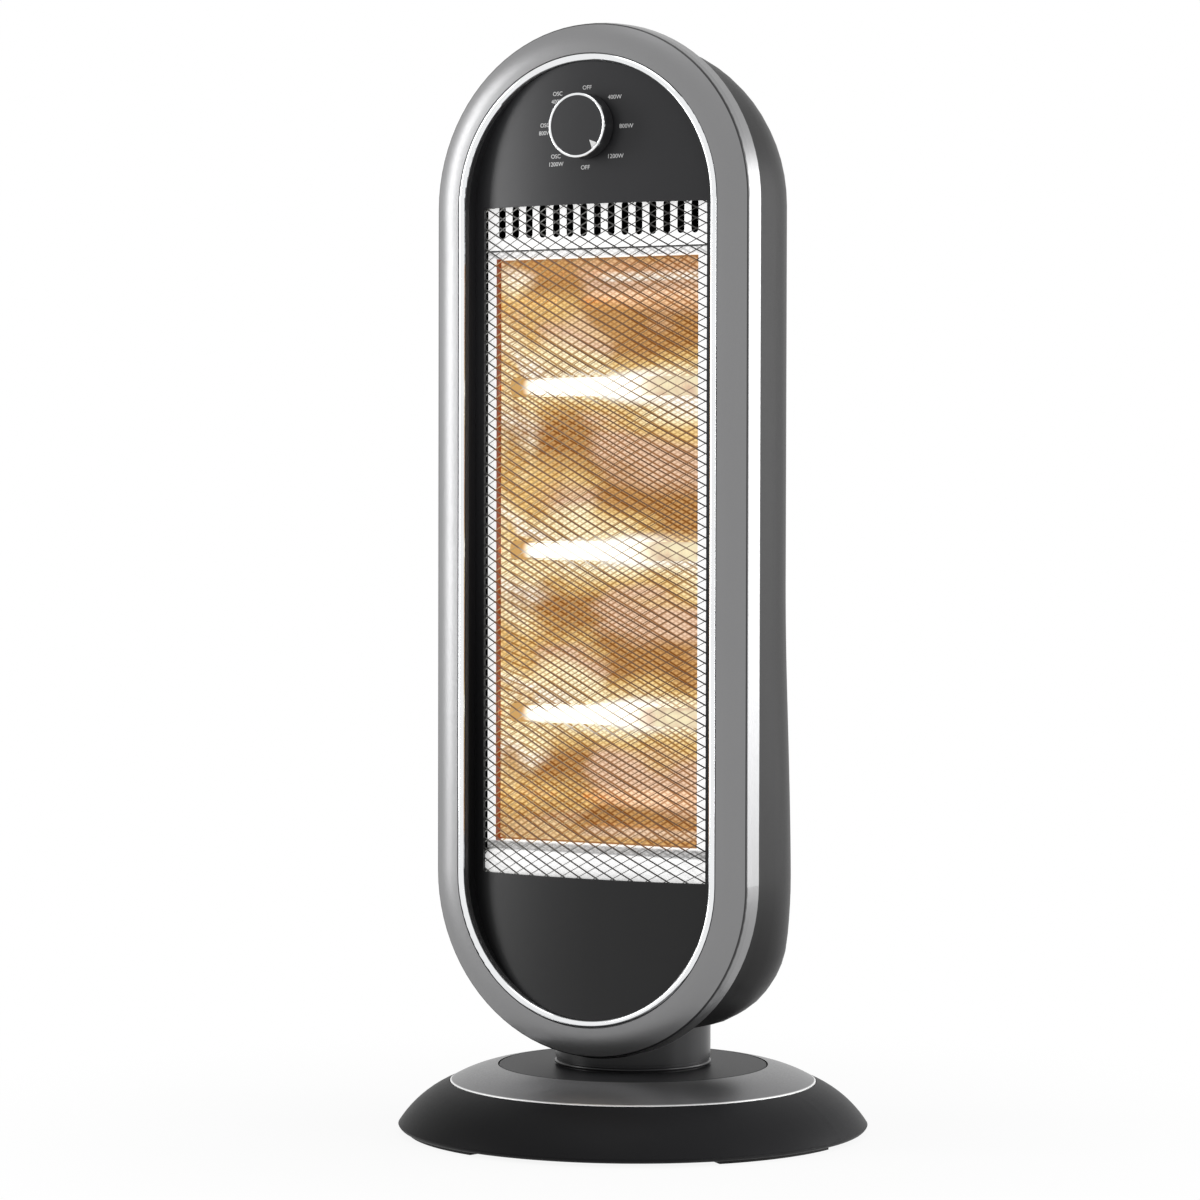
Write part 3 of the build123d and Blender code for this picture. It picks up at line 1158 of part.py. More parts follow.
# Thermal cut-out on the back of the pan
with BuildPart() as thermal_cutout:
    pan_rear_y = PAN_BACK_Y + SHEET
    cutout_step_y = pan_rear_y + CUTOUT_STEP
    cutout_back_y = pan_rear_y + CUTOUT_HEIGHT
    rods_along_depth([(0, CUTOUT_Z)], CUTOUT_RADIUS, pan_rear_y, cutout_step_y)
    rods_along_depth([(0, CUTOUT_Z)], CUTOUT_CAP_RADIUS, cutout_step_y, cutout_back_y)
    with BuildSketch(depth_plane(pan_rear_y)):
        with Locations((0, CUTOUT_Z)):
            SlotOverall(30.0, 8.0)
    extrude(amount=-SHEET)
thermal_cutout.part.label = "thermal_cutout"
export_step(thermal_cutout.part, "parts/thermal_cutout.step")

# Terminal block in the head, on the shell's floor
with BuildPart() as head_terminal_block:
    block_y = HEAD_BLOCK_FRONT_Y + 5.0
    block_bottom_z = SHELL_FLOOR_Z + 0.2
    with BuildSketch(Plane.XY.offset(block_bottom_z)):
        with Locations((0, block_y)):
            RectangleRounded(28.0, 10.0, 1.5)
    extrude(amount=HEAD_BLOCK_TOP_Z - block_bottom_z)
head_terminal_block.part.label = "head_terminal_block"
export_step(head_terminal_block.part, "parts/head_terminal_block.step")


def wire(*points):
    """Insulated wire through the points, with round bends."""
    with BuildLine() as route:
        FilletPolyline(*points, radius=WIRE_BEND_RADIUS)
    with BuildSketch(Plane(origin=route.line @ 0, z_dir=route.line % 0)) as section:
        Circle(WIRE_RADIUS)
    sweep(section.sketch, path=route.line)


# Wiring: terminal block to cut-out, switch to both rows of lamp caps
with BuildPart() as lamp_wiring:
    wire((0, block_y, HEAD_BLOCK_TOP_Z), (0, block_y, CUTOUT_Z), (0, cutout_back_y, CUTOUT_Z))
    cap_back_y = LAMP_Y + CAP_SIZE / 2
    for side in (-1, 1):
        bus_x = side * WIRE_X
        wire(
            (side * TERMINAL_X, SWITCH_BACK_Y + TERMINAL_LENGTH, DIAL_Z + TERMINAL_RISE),
            (side * TERMINAL_X, WIRE_Y, DIAL_Z + TERMINAL_RISE),
            (bus_x, WIRE_Y, 500.0),
            (bus_x, WIRE_Y, LAMP_HEIGHTS["lower"]),
            (bus_x, cap_back_y, LAMP_HEIGHTS["lower"]),
        )
        for place in ("upper", "middle"):
            with BuildSketch(depth_plane(cap_back_y)):
                with Locations((bus_x, LAMP_HEIGHTS[place])):
                    Circle(WIRE_RADIUS)
            extrude(amount=-(WIRE_Y - cap_back_y))
lamp_wiring.part.label = "lamp_wiring"
export_step(lamp_wiring.part, "parts/lamp_wiring.step")
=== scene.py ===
"""Looks of a free-standing oscillating heater with three lamps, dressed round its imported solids."""

import logging
import math
from dataclasses import dataclass
from enum import Enum
from functools import cached_property, reduce
from typing import ClassVar, Protocol

import bmesh
import bpy
from mathutils import Matrix, Vector


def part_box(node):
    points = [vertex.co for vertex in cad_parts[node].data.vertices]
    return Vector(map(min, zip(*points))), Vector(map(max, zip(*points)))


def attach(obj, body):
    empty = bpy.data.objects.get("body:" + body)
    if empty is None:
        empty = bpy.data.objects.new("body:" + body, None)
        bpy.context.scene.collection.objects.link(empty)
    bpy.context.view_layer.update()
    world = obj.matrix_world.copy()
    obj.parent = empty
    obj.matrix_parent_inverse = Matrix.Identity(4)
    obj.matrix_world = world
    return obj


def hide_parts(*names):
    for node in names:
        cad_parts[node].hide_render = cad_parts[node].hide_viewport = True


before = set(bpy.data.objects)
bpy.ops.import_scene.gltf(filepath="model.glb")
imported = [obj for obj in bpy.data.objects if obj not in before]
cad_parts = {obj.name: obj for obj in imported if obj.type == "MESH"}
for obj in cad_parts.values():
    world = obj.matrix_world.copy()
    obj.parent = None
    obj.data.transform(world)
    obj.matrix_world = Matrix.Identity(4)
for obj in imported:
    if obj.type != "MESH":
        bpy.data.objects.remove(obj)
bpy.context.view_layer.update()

logging.basicConfig(level=logging.INFO, format="%(name)s: %(message)s")
log = logging.getLogger("heater")

Colour = tuple[float, float, float]
Stretch = tuple[float, float, float]
Span = tuple[float, float]
Socket = bpy.types.NodeSocket
MM = 0.001
BORDER = 0.2 * MM
LAMPS = ("upper", "middle", "lower")
LAMP_PITCH = 86.0 * MM
MIDDLE_LAMP_Z = 306.5 * MM
CAVITY_HALF_WIDTH = 60.0 * MM
CAVITY_TOP = 459.3 * MM
CAVITY_BOTTOM = 154.0 * MM
GUARD_LOW, GUARD_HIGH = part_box("guard_mesh")
GUARD_MIDDLE = (GUARD_LOW.z + GUARD_HIGH.z) / 2
CELL_WIDTH = 10.07 * MM
CELL_HEIGHT = 5.35 * MM


class Grain(Enum):
    """Kind of fine relief that a finish carries."""

    SPARK = "spark-eroded moulding"
    PEEL = "sprayed paint"
    DRAWN = "drawn or rolled sheet"
    SMOOTH = "polished"


@dataclass
class Graph:
    """Adds nodes to one node tree and joins them up."""

    tree: bpy.types.NodeTree

    @cached_property
    def place(self) -> Socket:
        """Socket of the object's own coordinates."""
        return self.add("TexCoord").outputs["Object"]

    @cached_property
    def axes(self) -> tuple[Socket, ...]:
        """Sockets of X, Y and Z."""
        return tuple(self.add("SeparateXYZ", {"Vector": self.place}).outputs)

    def add(self, kind: str, inputs: dict | None = None, **settings: object) -> bpy.types.Node:
        """Add one node.

        Args:
            kind: Node type without its ShaderNode prefix.
            inputs: Values or sockets by the name or number of the input that they go to.
            settings: Other properties of the node.

        Returns:
            The new node.
        """
        node = self.tree.nodes.new("ShaderNode" + kind)
        for key, value in settings.items():
            setattr(node, key, value)
        self.feed(node, inputs or {})
        return node

    def feed(self, node: bpy.types.Node, inputs: dict) -> None:
        """Set or link some inputs of a node.

        Args:
            node: The node.
            inputs: Values or sockets by the name or number of the input.
        """
        for key, value in inputs.items():
            if isinstance(value, Socket):
                self.tree.links.new(value, node.inputs[key])
            else:
                node.inputs[key].default_value = value

    def math(self, operation: str, *values: object) -> Socket:
        """Add a sum, product or other operation on numbers.

        Args:
            operation: Name of the operation.
            values: Numbers or sockets, as many as the operation takes.

        Returns:
            The result's socket.
        """
        return self.add("Math", dict(enumerate(values)), operation=operation).outputs["Value"]

    def fold(self, operation: str, *values: object) -> Socket:
        """Join any count of numbers by one operation on two.

        Args:
            operation: Name of the operation.
            values: Numbers or sockets.

        Returns:
            The result's socket.
        """
        return reduce(lambda first, second: self.math(operation, first, second), values)

    def gap(self, value: object, centre: object) -> Socket:
        """Measure how far a value lies from a centre.

        Args:
            value: Socket that is followed.
            centre: The centre or its socket.

        Returns:
            The distance's socket.
        """
        return self.math("ABSOLUTE", self.math("SUBTRACT", value, centre))

    def length(self, first: object, second: object) -> Socket:
        """Measure the length of a way with two square parts.

        Args:
            first: Socket of one part.
            second: Socket of the other.

        Returns:
            The length's socket.
        """
        squares = (self.math("MULTIPLY", part, part) for part in (first, second))
        return self.math("SQRT", self.math("ADD", *squares))

    def step(self, value: object, start: float, end: float, low: float = 0.0,
             high: float = 1.0) -> Socket:
        """Pass softly from one number to another.

        Args:
            value: Socket that is followed.
            start: Its value where the change starts.
            end: Its value where the change ends.
            low: Number before the change.
            high: Number after it.

        Returns:
            The result's socket.
        """
        inputs = {"Value": value, "From Min": start, "From Max": end, "To Min": low, "To Max": high}
        return self.add("MapRange", inputs, interpolation_type="SMOOTHSTEP").outputs["Result"]

    def fade(self, value: object, start: float, end: float) -> Socket:
        """Pass softly from 1 to 0.

        Args:
            value: Socket that is followed.
            start: Its value where the change starts.
            end: Its value where the change ends.

        Returns:
            The result's socket.
        """
        return self.step(value, start, end, 1.0, 0.0)

    def mix(self, factor: object, first: object, second: object, blend: str = "MIX") -> Socket:
        """Mix two colours.

        Args:
            factor: Number or socket that is 0 for the first colour and 1 for the second.
            first: First colour or its socket.
            second: Second colour or its socket.
            blend: Way of blending.

        Returns:
            The mixed colour's socket.
        """
        inputs = {"Factor": factor}
        for key, colour in (("A", first), ("B", second)):
            inputs[key] = colour if isinstance(colour, Socket) else (*colour, 1.0)
        return self.add("Mix", inputs, data_type="RGBA", blend_type=blend).outputs["Result"]

    def noise(self, scale: float, detail: float = 2.0,
              stretch: Stretch = (1.0, 1.0, 1.0)) -> Socket:
        """Add a noise over the object's own coordinates.

        Args:
            scale: Fineness of the noise.
            detail: Number of finer layers in it.
            stretch: Factor on each axis, smaller where the noise runs longer.

        Returns:
            The noise's socket.
        """
        mapped = self.add("Mapping", {"Vector": self.place, "Scale": stretch}).outputs["Vector"]
        inputs = {"Vector": mapped, "Scale": scale, "Detail": detail}
        return self.add("TexNoise", inputs).outputs["Fac"]

    def ramp(self, value: object, stops: tuple[tuple[float, Colour], ...]) -> Socket:
        """Turn a number from 0 to 1 into a row of colours.

        Args:
            value: Socket that is followed.
            stops: Positions in rising order, each with its colour.

        Returns:
            The colour's socket.
        """
        node = self.add("ValToRGB", {"Fac": value})
        elements = node.color_ramp.elements
        for element, (position, colour) in zip((elements[0], elements[1]), (stops[0], stops[-1])):
            element.position = position
            element.color = (*colour, 1.0)
        for position, colour in stops[1:-1]:
            elements.new(position).color = (*colour, 1.0)
        return node.outputs["Color"]

    def strand_distance(self, x: object, z: object, rising: bool) -> Socket:
        """Measure how far a place lies from the nearest strand of one family of the guard.

        Args:
            x: Socket of X.
            z: Socket of the height over the guard's middle.
            rising: Whether the family rises towards +X, or falls.

        Returns:
            The distance's socket, in metres.
        """
        across = self.math("DIVIDE", x, -CELL_WIDTH if rising else CELL_WIDTH)
        turns = self.math("ADD", across, self.math("DIVIDE", z, CELL_HEIGHT))
        spacing = 1 / math.hypot(1 / CELL_WIDTH, 1 / CELL_HEIGHT)
        return self.math("MULTIPLY", self.math("PINGPONG", turns, 0.5), spacing)

    def lamp_distance(self) -> Socket:
        """Measure how far above or below the nearest lamp a place lies.

        Returns:
            The distance's socket.
        """
        low = self.math("MAXIMUM", self.axes[2], MIDDLE_LAMP_Z - 1.5 * LAMP_PITCH)
        kept = self.math("MINIMUM", low, MIDDLE_LAMP_Z + 1.5 * LAMP_PITCH)
        return self.math("PINGPONG", self.math("SUBTRACT", kept, MIDDLE_LAMP_Z), LAMP_PITCH / 2)

    def seen_rays(self) -> Socket:
        """Tell whether a camera, glossy or transmission ray arrives.

        Returns:
            A socket that is 1 for those rays.
        """
        path = self.add("LightPath").outputs
        kinds = ("Is Camera Ray", "Is Glossy Ray", "Is Transmission Ray")
        return self.fold("MAXIMUM", *(path[kind] for kind in kinds))


class Dressing(Protocol):
    """Anything that can make a material."""

    name: str

    def material(self) -> bpy.types.Material:
        """Build the node material."""


def empty_material(name: str) -> tuple[bpy.types.Material, Graph]:
    """Start a material with its own node tree.

    Args:
        name: Name of the material.

    Returns:
        The material and the graph of its nodes.
    """
    material = bpy.data.materials.new(name)
    material.use_nodes = True
    return material, Graph(material.node_tree)


def shade(colour: Colour, factor: float) -> Colour:
    """Darken a colour, or lighten it up to white.

    Args:
        colour: The colour.
        factor: Under 1 to darken and over 1 to lighten.

    Returns:
        The new colour.
    """
    return tuple(min(1.0, part * factor) for part in colour)


@dataclass(frozen=True)
class Finish:
    """Opaque finish with a fine relief, a slow change of tone and an uneven gloss."""

    name: str
    colour: Colour
    roughness: float
    metallic: float = 0.0
    specular: float = 0.5
    grain: Grain = Grain.SPARK
    grain_size: float = 0.6 * MM
    relief: float = 0.04 * MM
    tone_spread: float = 0.12
    gloss_spread: float = 0.08
    # Emission strength: above zero it paints a glow on a part that is no lamp (painted light).
    glow: float = 0.0
    patch_scale: float = 14.0
    drawn_stretch: Stretch = (1.0, 1.0, 0.04)
    least_roughness: float = 0.02
    bump_strength: float = 0.6

    def material(self) -> bpy.types.Material:
        """Build the node material.

        Returns:
            The finished material.
        """
        material, graph = empty_material(self.name)
        shades = [shade(self.colour, 1.0 + sign * self.tone_spread) for sign in (-1, 1)]
        tone = self.tone(graph, graph.mix(graph.noise(self.patch_scale, 3.0), *shades))
        stretch = self.drawn_stretch if self.grain is Grain.DRAWN else (1.0, 1.0, 1.0)
        fine = graph.noise(1.0 / self.grain_size, 2.0, stretch)
        least = max(self.least_roughness, self.roughness - self.gloss_spread)
        shader = graph.tree.nodes["Principled BSDF"]
        graph.feed(shader, {
            "Base Color": tone,
            "Emission Color": tone,
            "Emission Strength": self.glow,
            "Metallic": self.metallic,
            "Specular IOR Level": self.specular,
            "Roughness": graph.step(fine, 0.0, 1.0, least, self.roughness + self.gloss_spread),
        })
        if self.grain is not Grain.SMOOTH:
            inputs = {"Height": fine, "Strength": self.bump_strength, "Distance": self.relief}
            bump = graph.add("Bump", inputs)
            graph.feed(shader, {"Normal": bump.outputs["Normal"]})
        return material

    def tone(self, graph: Graph, plain: Socket) -> Socket:
        """Choose the colour of each place.

        Args:
            graph: Graph that the nodes go into.
            plain: Socket of the finish's own colour.

        Returns:
            The colour's socket.
        """
        return plain


@dataclass(frozen=True)
class RimHighlightFinish(Finish):
    """Finish with a painted highlight along its outer rim, measured from the upright axis."""

    highlight_colour: Colour = (0.95, 0.95, 0.95)
    highlight_span: Span = (0.0, 1.0)

    def tone(self, graph: Graph, plain: Socket) -> Socket:
        """Paint a highlight on the colour towards the rim.

        Args:
            graph: Graph that the nodes go into.
            plain: Socket of the finish's own colour.

        Returns:
            The colour's socket.
        """
        x, y, _ = graph.axes
        return graph.mix(graph.step(graph.length(x, y), *self.highlight_span), plain, self.highlight_colour)


@dataclass(frozen=True)
class SideShadeFinish(Finish):
    """Finish with painted shade: darker towards the start of a span along one axis, passing to its
    lighter tone after it.
    """

    axis: int = 0
    span: Span = (-0.1, 0.1)
    shade_factor: float = 0.5

    def tone(self, graph: Graph, plain: Socket) -> Socket:
        """Paint shade on the colour towards the start of the span.

        Args:
            graph: Graph that the nodes go into.
            plain: Socket of the finish's own colour.

        Returns:
            The colour's socket.
        """
        dark = (self.shade_factor,) * 3
        return graph.mix(graph.fade(graph.axes[self.axis], *self.span), plain, dark, "MULTIPLY")


@dataclass(frozen=True)
class GrooveShadeFinish(Finish):
    """Finish with a thin dark line of painted groove shade that follows the head's round-ended
    outline.
    """

    centres: Span = (137.0 * MM, 486.0 * MM)
    groove_radius: float = 92.75 * MM
    groove_half: float = 0.45 * MM
    groove_shade_factor: float = 0.2

    def tone(self, graph: Graph, plain: Socket) -> Socket:
        """Paint the groove's shade as a dark line on the colour.

        Args:
            graph: Graph that the nodes go into.
            plain: Socket of the finish's own colour.

        Returns:
            The colour's socket.
        """
        x, _, z = graph.axes
        low, high = self.centres
        kept = graph.math("MINIMUM", graph.math("MAXIMUM", z, low), high)
        radius = graph.length(x, graph.math("SUBTRACT", z, kept))
        line = graph.fade(graph.gap(radius, self.groove_radius), self.groove_half * 0.6, self.groove_half)
        return graph.mix(line, plain, (self.groove_shade_factor,) * 3, "MULTIPLY")


BROWN: Colour = (0.54, 0.30, 0.11)
GOLD: Colour = (0.82, 0.59, 0.25)
PALE: Colour = (1.0, 0.90, 0.60)
WHITE: Colour = (1.0, 0.98, 0.91)
ROSE: Colour = (0.78, 0.55, 0.39)


@dataclass(frozen=True)
class Streak:
    """Stretch of white light along each lamp, wider and fainter towards its far end."""

    widening: Span = (-40.0 * MM, 10.0 * MM)
    reach: Span = (2.5 * MM, 8.0 * MM)
    core: Span = (0.6, 1.4)
    start: Span = (-52.0 * MM, -40.0 * MM)
    end: Span = (0.0, 34.0 * MM)
    least: float = 0.1

    def mask(self, graph: Graph) -> Socket:
        """Tell how strong the streak is at each place.

        Args:
            graph: Graph that the nodes go into.

        Returns:
            A socket that is 1 in the streak's middle.
        """
        x = graph.axes[0]
        reach = graph.step(x, *self.widening, *self.reach)
        away = graph.math("DIVIDE", graph.lamp_distance(), reach)
        return graph.fold("MULTIPLY", graph.fade(away, *self.core), graph.step(x, *self.start),
                          graph.step(x, *self.end, 1.0, self.least))


@dataclass(frozen=True)
class ReflectorFinish:
    """Polished sheet whose lamp light is painted on as glow: the guard's image in it as painted
    reflection and shadow, painted white by the lamps, gold to brown between.
    """

    name: str = "reflector_glow"
    # Painted lamp reflections: colour bands across each lamp pitch, for the side walls, the near part
    # and the far part of the pan.
    side_bands: tuple[tuple[float, Colour], ...] = (
        (0.0, GOLD), (0.08, PALE), (0.20, PALE), (0.34, WHITE), (0.48, PALE), (0.60, GOLD),
        (0.74, GOLD), (0.84, PALE), (0.91, WHITE), (0.97, GOLD),
    )
    near_bands: tuple[tuple[float, Colour], ...] = (
        (0.0, WHITE), (0.08, PALE), (0.20, GOLD), (0.30, BROWN), (0.46, BROWN), (0.60, GOLD),
        (0.70, ROSE), (0.80, PALE), (0.90, PALE), (1.0, WHITE),
    )
    far_bands: tuple[tuple[float, Colour], ...] = (
        (0.0, WHITE), (0.12, PALE), (0.22, GOLD), (0.30, ROSE), (0.46, ROSE), (0.58, BROWN),
        (0.72, BROWN), (0.82, GOLD), (0.92, PALE), (1.0, WHITE),
    )
    # Painted shade: dim brown on the pan's front brim and darker on its left fold and the flange's
    # left bend.
    fold: Colour = (0.22, 0.045, 0.012)
    brim: Colour = (0.30, 0.14, 0.05)
    flange: Colour = (0.95, 0.95, 0.95)
    # Painted shade at the lap joint where the flange runs under the vent plate.
    lap_shade: Colour = (0.05, 0.05, 0.05)
    # Painted shadow and reflection of the guard's strands on the white flange.
    strand_shade: Colour = (0.30, 0.30, 0.30)
    rear: Colour = (0.4, 0.4, 0.4)
    # Painted shadow and reflection of the guard's strands in the pan, multiplied in.
    shadow: Colour = (0.36, 0.22, 0.11)
    flange_y: float = -37.9 * MM
    face_y: float = -38.5 * MM
    brim_span: Span = (-36.2 * MM, -36.8 * MM)
    fold_span: Span = (-61.6 * MM, -61.2 * MM)
    left_span: Span = (-58.0 * MM, -59.0 * MM)
    rear_y: float = -5.6 * MM
    margin: float = 0.3 * MM
    depth: float = 32.0 * MM
    middle: float = 306.65 * MM
    slopes: tuple[Span, ...] = ((-0.526, 132.12 * MM), (-1.214, 118.36 * MM))
    blotch_scale: float = 26.0
    blotch_stretch: Stretch = (0.6, 1.0, 1.6)
    wander: float = 0.09
    lean: Span = (0.04, -0.06)
    mouth_lift: Span = (0.10, 0.0)
    blur: float = 12.0 * MM
    near_end: Span = (-24.0 * MM, -12.0 * MM)
    side_end: Span = (-46.0 * MM, -62.0 * MM)
    lap_shade_z: float = 463.0 * MM
    flange_bottom: float = 153.0 * MM
    glints: tuple[Span, ...] = ((449.6 * MM, -12.0 * MM), (159.8 * MM, -20.0 * MM))
    glint_span: Span = (1.2 * MM, 3.0 * MM)
    glint_run: float = 10.0 * MM
    # Painted shade: the bands dim to brown towards the cavity's bottom and top.
    dim_ends: tuple[Span, ...] = ((176.0 * MM, 158.0 * MM), (446.0 * MM, 459.0 * MM))
    dimming: float = 0.65
    streak: Streak = Streak()
    strand_core: float = 0.12 * MM
    strand_reaches: tuple[float, ...] = (0.95 * MM, 0.85 * MM, 0.7 * MM, 0.7 * MM)
    strand_strengths: tuple[float, ...] = (1.0, 0.85, 0.5, 0.5)
    image_scale: float = 1.03
    image_slant: float = 0.58
    image_drift: float = 2.4 * MM
    glow: float = 0.97
    mirror: float = 0.3

    def painted_lamp_bands(self, graph: Graph, image: Socket) -> Socket:
        """Paint the bands of lamp light and reflection that repeat from lamp to lamp.

        Args:
            graph: Graph that the nodes go into.
            image: Socket of the guard's image.

        Returns:
            The colour's socket.
        """
        x, y, z = graph.axes
        blotch = graph.noise(self.blotch_scale, 2.0, self.blotch_stretch)
        share = graph.math("FRACT", graph.fold(
            "ADD", 4.0,
            graph.math("DIVIDE", graph.math("SUBTRACT", MIDDLE_LAMP_Z, z), LAMP_PITCH),
            graph.step(blotch, 0.25, 0.75, -self.wander, self.wander),
            graph.step(x, -CAVITY_HALF_WIDTH, CAVITY_HALF_WIDTH, *self.lean),
            graph.step(y, self.flange_y, self.flange_y + self.depth, *self.mouth_lift),
        ))
        soft = graph.math("ADD", x, graph.step(blotch, 0.2, 0.8, -self.blur, self.blur))
        colour = graph.mix(graph.step(soft, *self.near_end), graph.ramp(share, self.near_bands),
                           graph.ramp(share, self.far_bands))
        side = graph.ramp(share, self.side_bands)
        colour = graph.mix(graph.step(soft, *self.side_end), colour, side)
        for height, start in self.glints:
            band = graph.fade(graph.gap(z, height), *self.glint_span)
            glint = graph.math("MULTIPLY", band, graph.step(x, start, start + self.glint_run))
            colour = graph.mix(glint, colour, WHITE)
        # Painted shade: dim the bands to brown near the cavity's ends.
        for inner, edge in self.dim_ends:
            colour = graph.mix(graph.step(z, inner, edge, 0.0, self.dimming), colour, BROWN)
        # Painted reflection and shadow of the guard's strands.
        colour = graph.mix(image, colour, self.shadow, "MULTIPLY")
        return graph.mix(self.streak.mask(graph), colour, WHITE)

    def image(self, graph: Graph) -> Socket:
        """Paint the guard's soft image, a painted reflection and shadow of its strands, drifting
        slowly against the guard itself.

        Args:
            graph: Graph that the nodes go into.

        Returns:
            A socket that is 1 on the image's strands.
        """
        x, y, z = graph.axes
        drift = graph.step(graph.noise(12.0, 1.0), 0.2, 0.8, -self.image_drift, self.image_drift)
        inward = graph.math("SUBTRACT", y, self.rear_y)
        across = graph.fold("ADD", graph.math("MULTIPLY", x, self.image_scale),
                            graph.math("MULTIPLY", inward, self.image_slant), drift)
        height = graph.math("SUBTRACT", z, GUARD_MIDDLE)
        height = graph.math("MULTIPLY_ADD", height, self.image_scale, CELL_HEIGHT / 2)
        raised = graph.math("ADD", height, CELL_HEIGHT / 2)
        away = [graph.strand_distance(across, level, rising)
                for level in (height, raised) for rising in (False, True)]
        return graph.fold("MAXIMUM", *(
            graph.step(distance, self.strand_core, reach, strength, 0.0)
            for distance, reach, strength in zip(away, self.strand_reaches, self.strand_strengths)
        ))

    def inside(self, graph: Graph) -> Socket:
        """Tell the pan's front side and the flange's face from their rear sides.

        Args:
            graph: Graph that the nodes go into.

        Returns:
            A socket that is 1 on the lit side.
        """
        x, y, z = graph.axes
        reach = [graph.math("MULTIPLY_ADD", y, slope, start) for slope, start in self.slopes]
        over = graph.math("SUBTRACT", graph.gap(z, self.middle), graph.math("MINIMUM", *reach))
        side = graph.math("SUBTRACT", graph.math("ABSOLUTE", x), CAVITY_HALF_WIDTH)
        within = graph.fold("MULTIPLY", graph.fade(over, self.margin, self.margin + BORDER),
                            graph.fade(side, self.margin, self.margin + BORDER),
                            graph.step(y, self.rear_y, self.rear_y - BORDER))
        return graph.math("MAXIMUM", within, graph.step(y, self.face_y, self.face_y - BORDER))

    def material(self) -> bpy.types.Material:
        """Build the node material.

        Returns:
            A reflecting material that carries the lamps' warm light, painted on as glow.
        """
        material, graph = empty_material(self.name)
        x, y, z = graph.axes
        image = self.image(graph)
        # Painted shade: the pan's front brim is dim brown, its left fold darker.
        left = graph.step(x, *self.left_span)
        edge = graph.mix(left, self.brim, self.fold)
        colour = graph.mix(graph.step(y, *self.brim_span), self.painted_lamp_bands(graph, image), edge)
        flange = graph.step(y, self.flange_y, self.flange_y - BORDER)
        pan = graph.math("SUBTRACT", 1.0, flange)
        above = graph.step(z, CAVITY_TOP, CAVITY_TOP + 0.5 * MM)
        foot_span = (self.flange_bottom, self.flange_bottom + 1.0 * MM)
        upper = graph.step(z, *foot_span)
        beyond = graph.math("MAXIMUM", above, graph.math("SUBTRACT", 1.0, upper))
        # Painted shadow and reflection of the strands on the flange above the cavity and below its
        # foot.
        strand_shade_mask = graph.fold("MULTIPLY", beyond, image, 0.7)
        white = graph.mix(strand_shade_mask, self.flange, self.strand_shade)
        # Painted shade: the flange is dark above this height, where it laps under the vent plate.
        white = graph.mix(graph.step(z, self.lap_shade_z, self.lap_shade_z + BORDER), white, self.lap_shade)
        # Painted shade: the flange's left bend is dark.
        bend = graph.fold("MULTIPLY", graph.step(x, *self.fold_span), left,
                          graph.math("SUBTRACT", upper, above))
        colour = graph.mix(flange, colour, graph.mix(bend, white, self.fold))
        inside = self.inside(graph)
        # Painted glow: the pan glows with its painted lamp light; the flange glows faintly below its
        # foot and more above it.
        foot = graph.step(z, *foot_span, 0.05, 0.6)
        power = graph.add("Mix", {"Factor": flange, "A": self.glow, "B": foot}).outputs["Result"]
        steel = graph.mix(pan, colour, (self.mirror,) * 3, "MULTIPLY")
        graph.feed(graph.tree.nodes["Principled BSDF"], {
            "Base Color": graph.mix(inside, self.rear, steel),
            "Metallic": pan,
            "Roughness": graph.step(graph.noise(260.0, 2.0, (1.0, 1.0, 0.1)), 0.2, 0.8, 0.06, 0.12),
            "Emission Color": colour,
            "Emission Strength": graph.math("MULTIPLY", inside, power),
        })
        return material


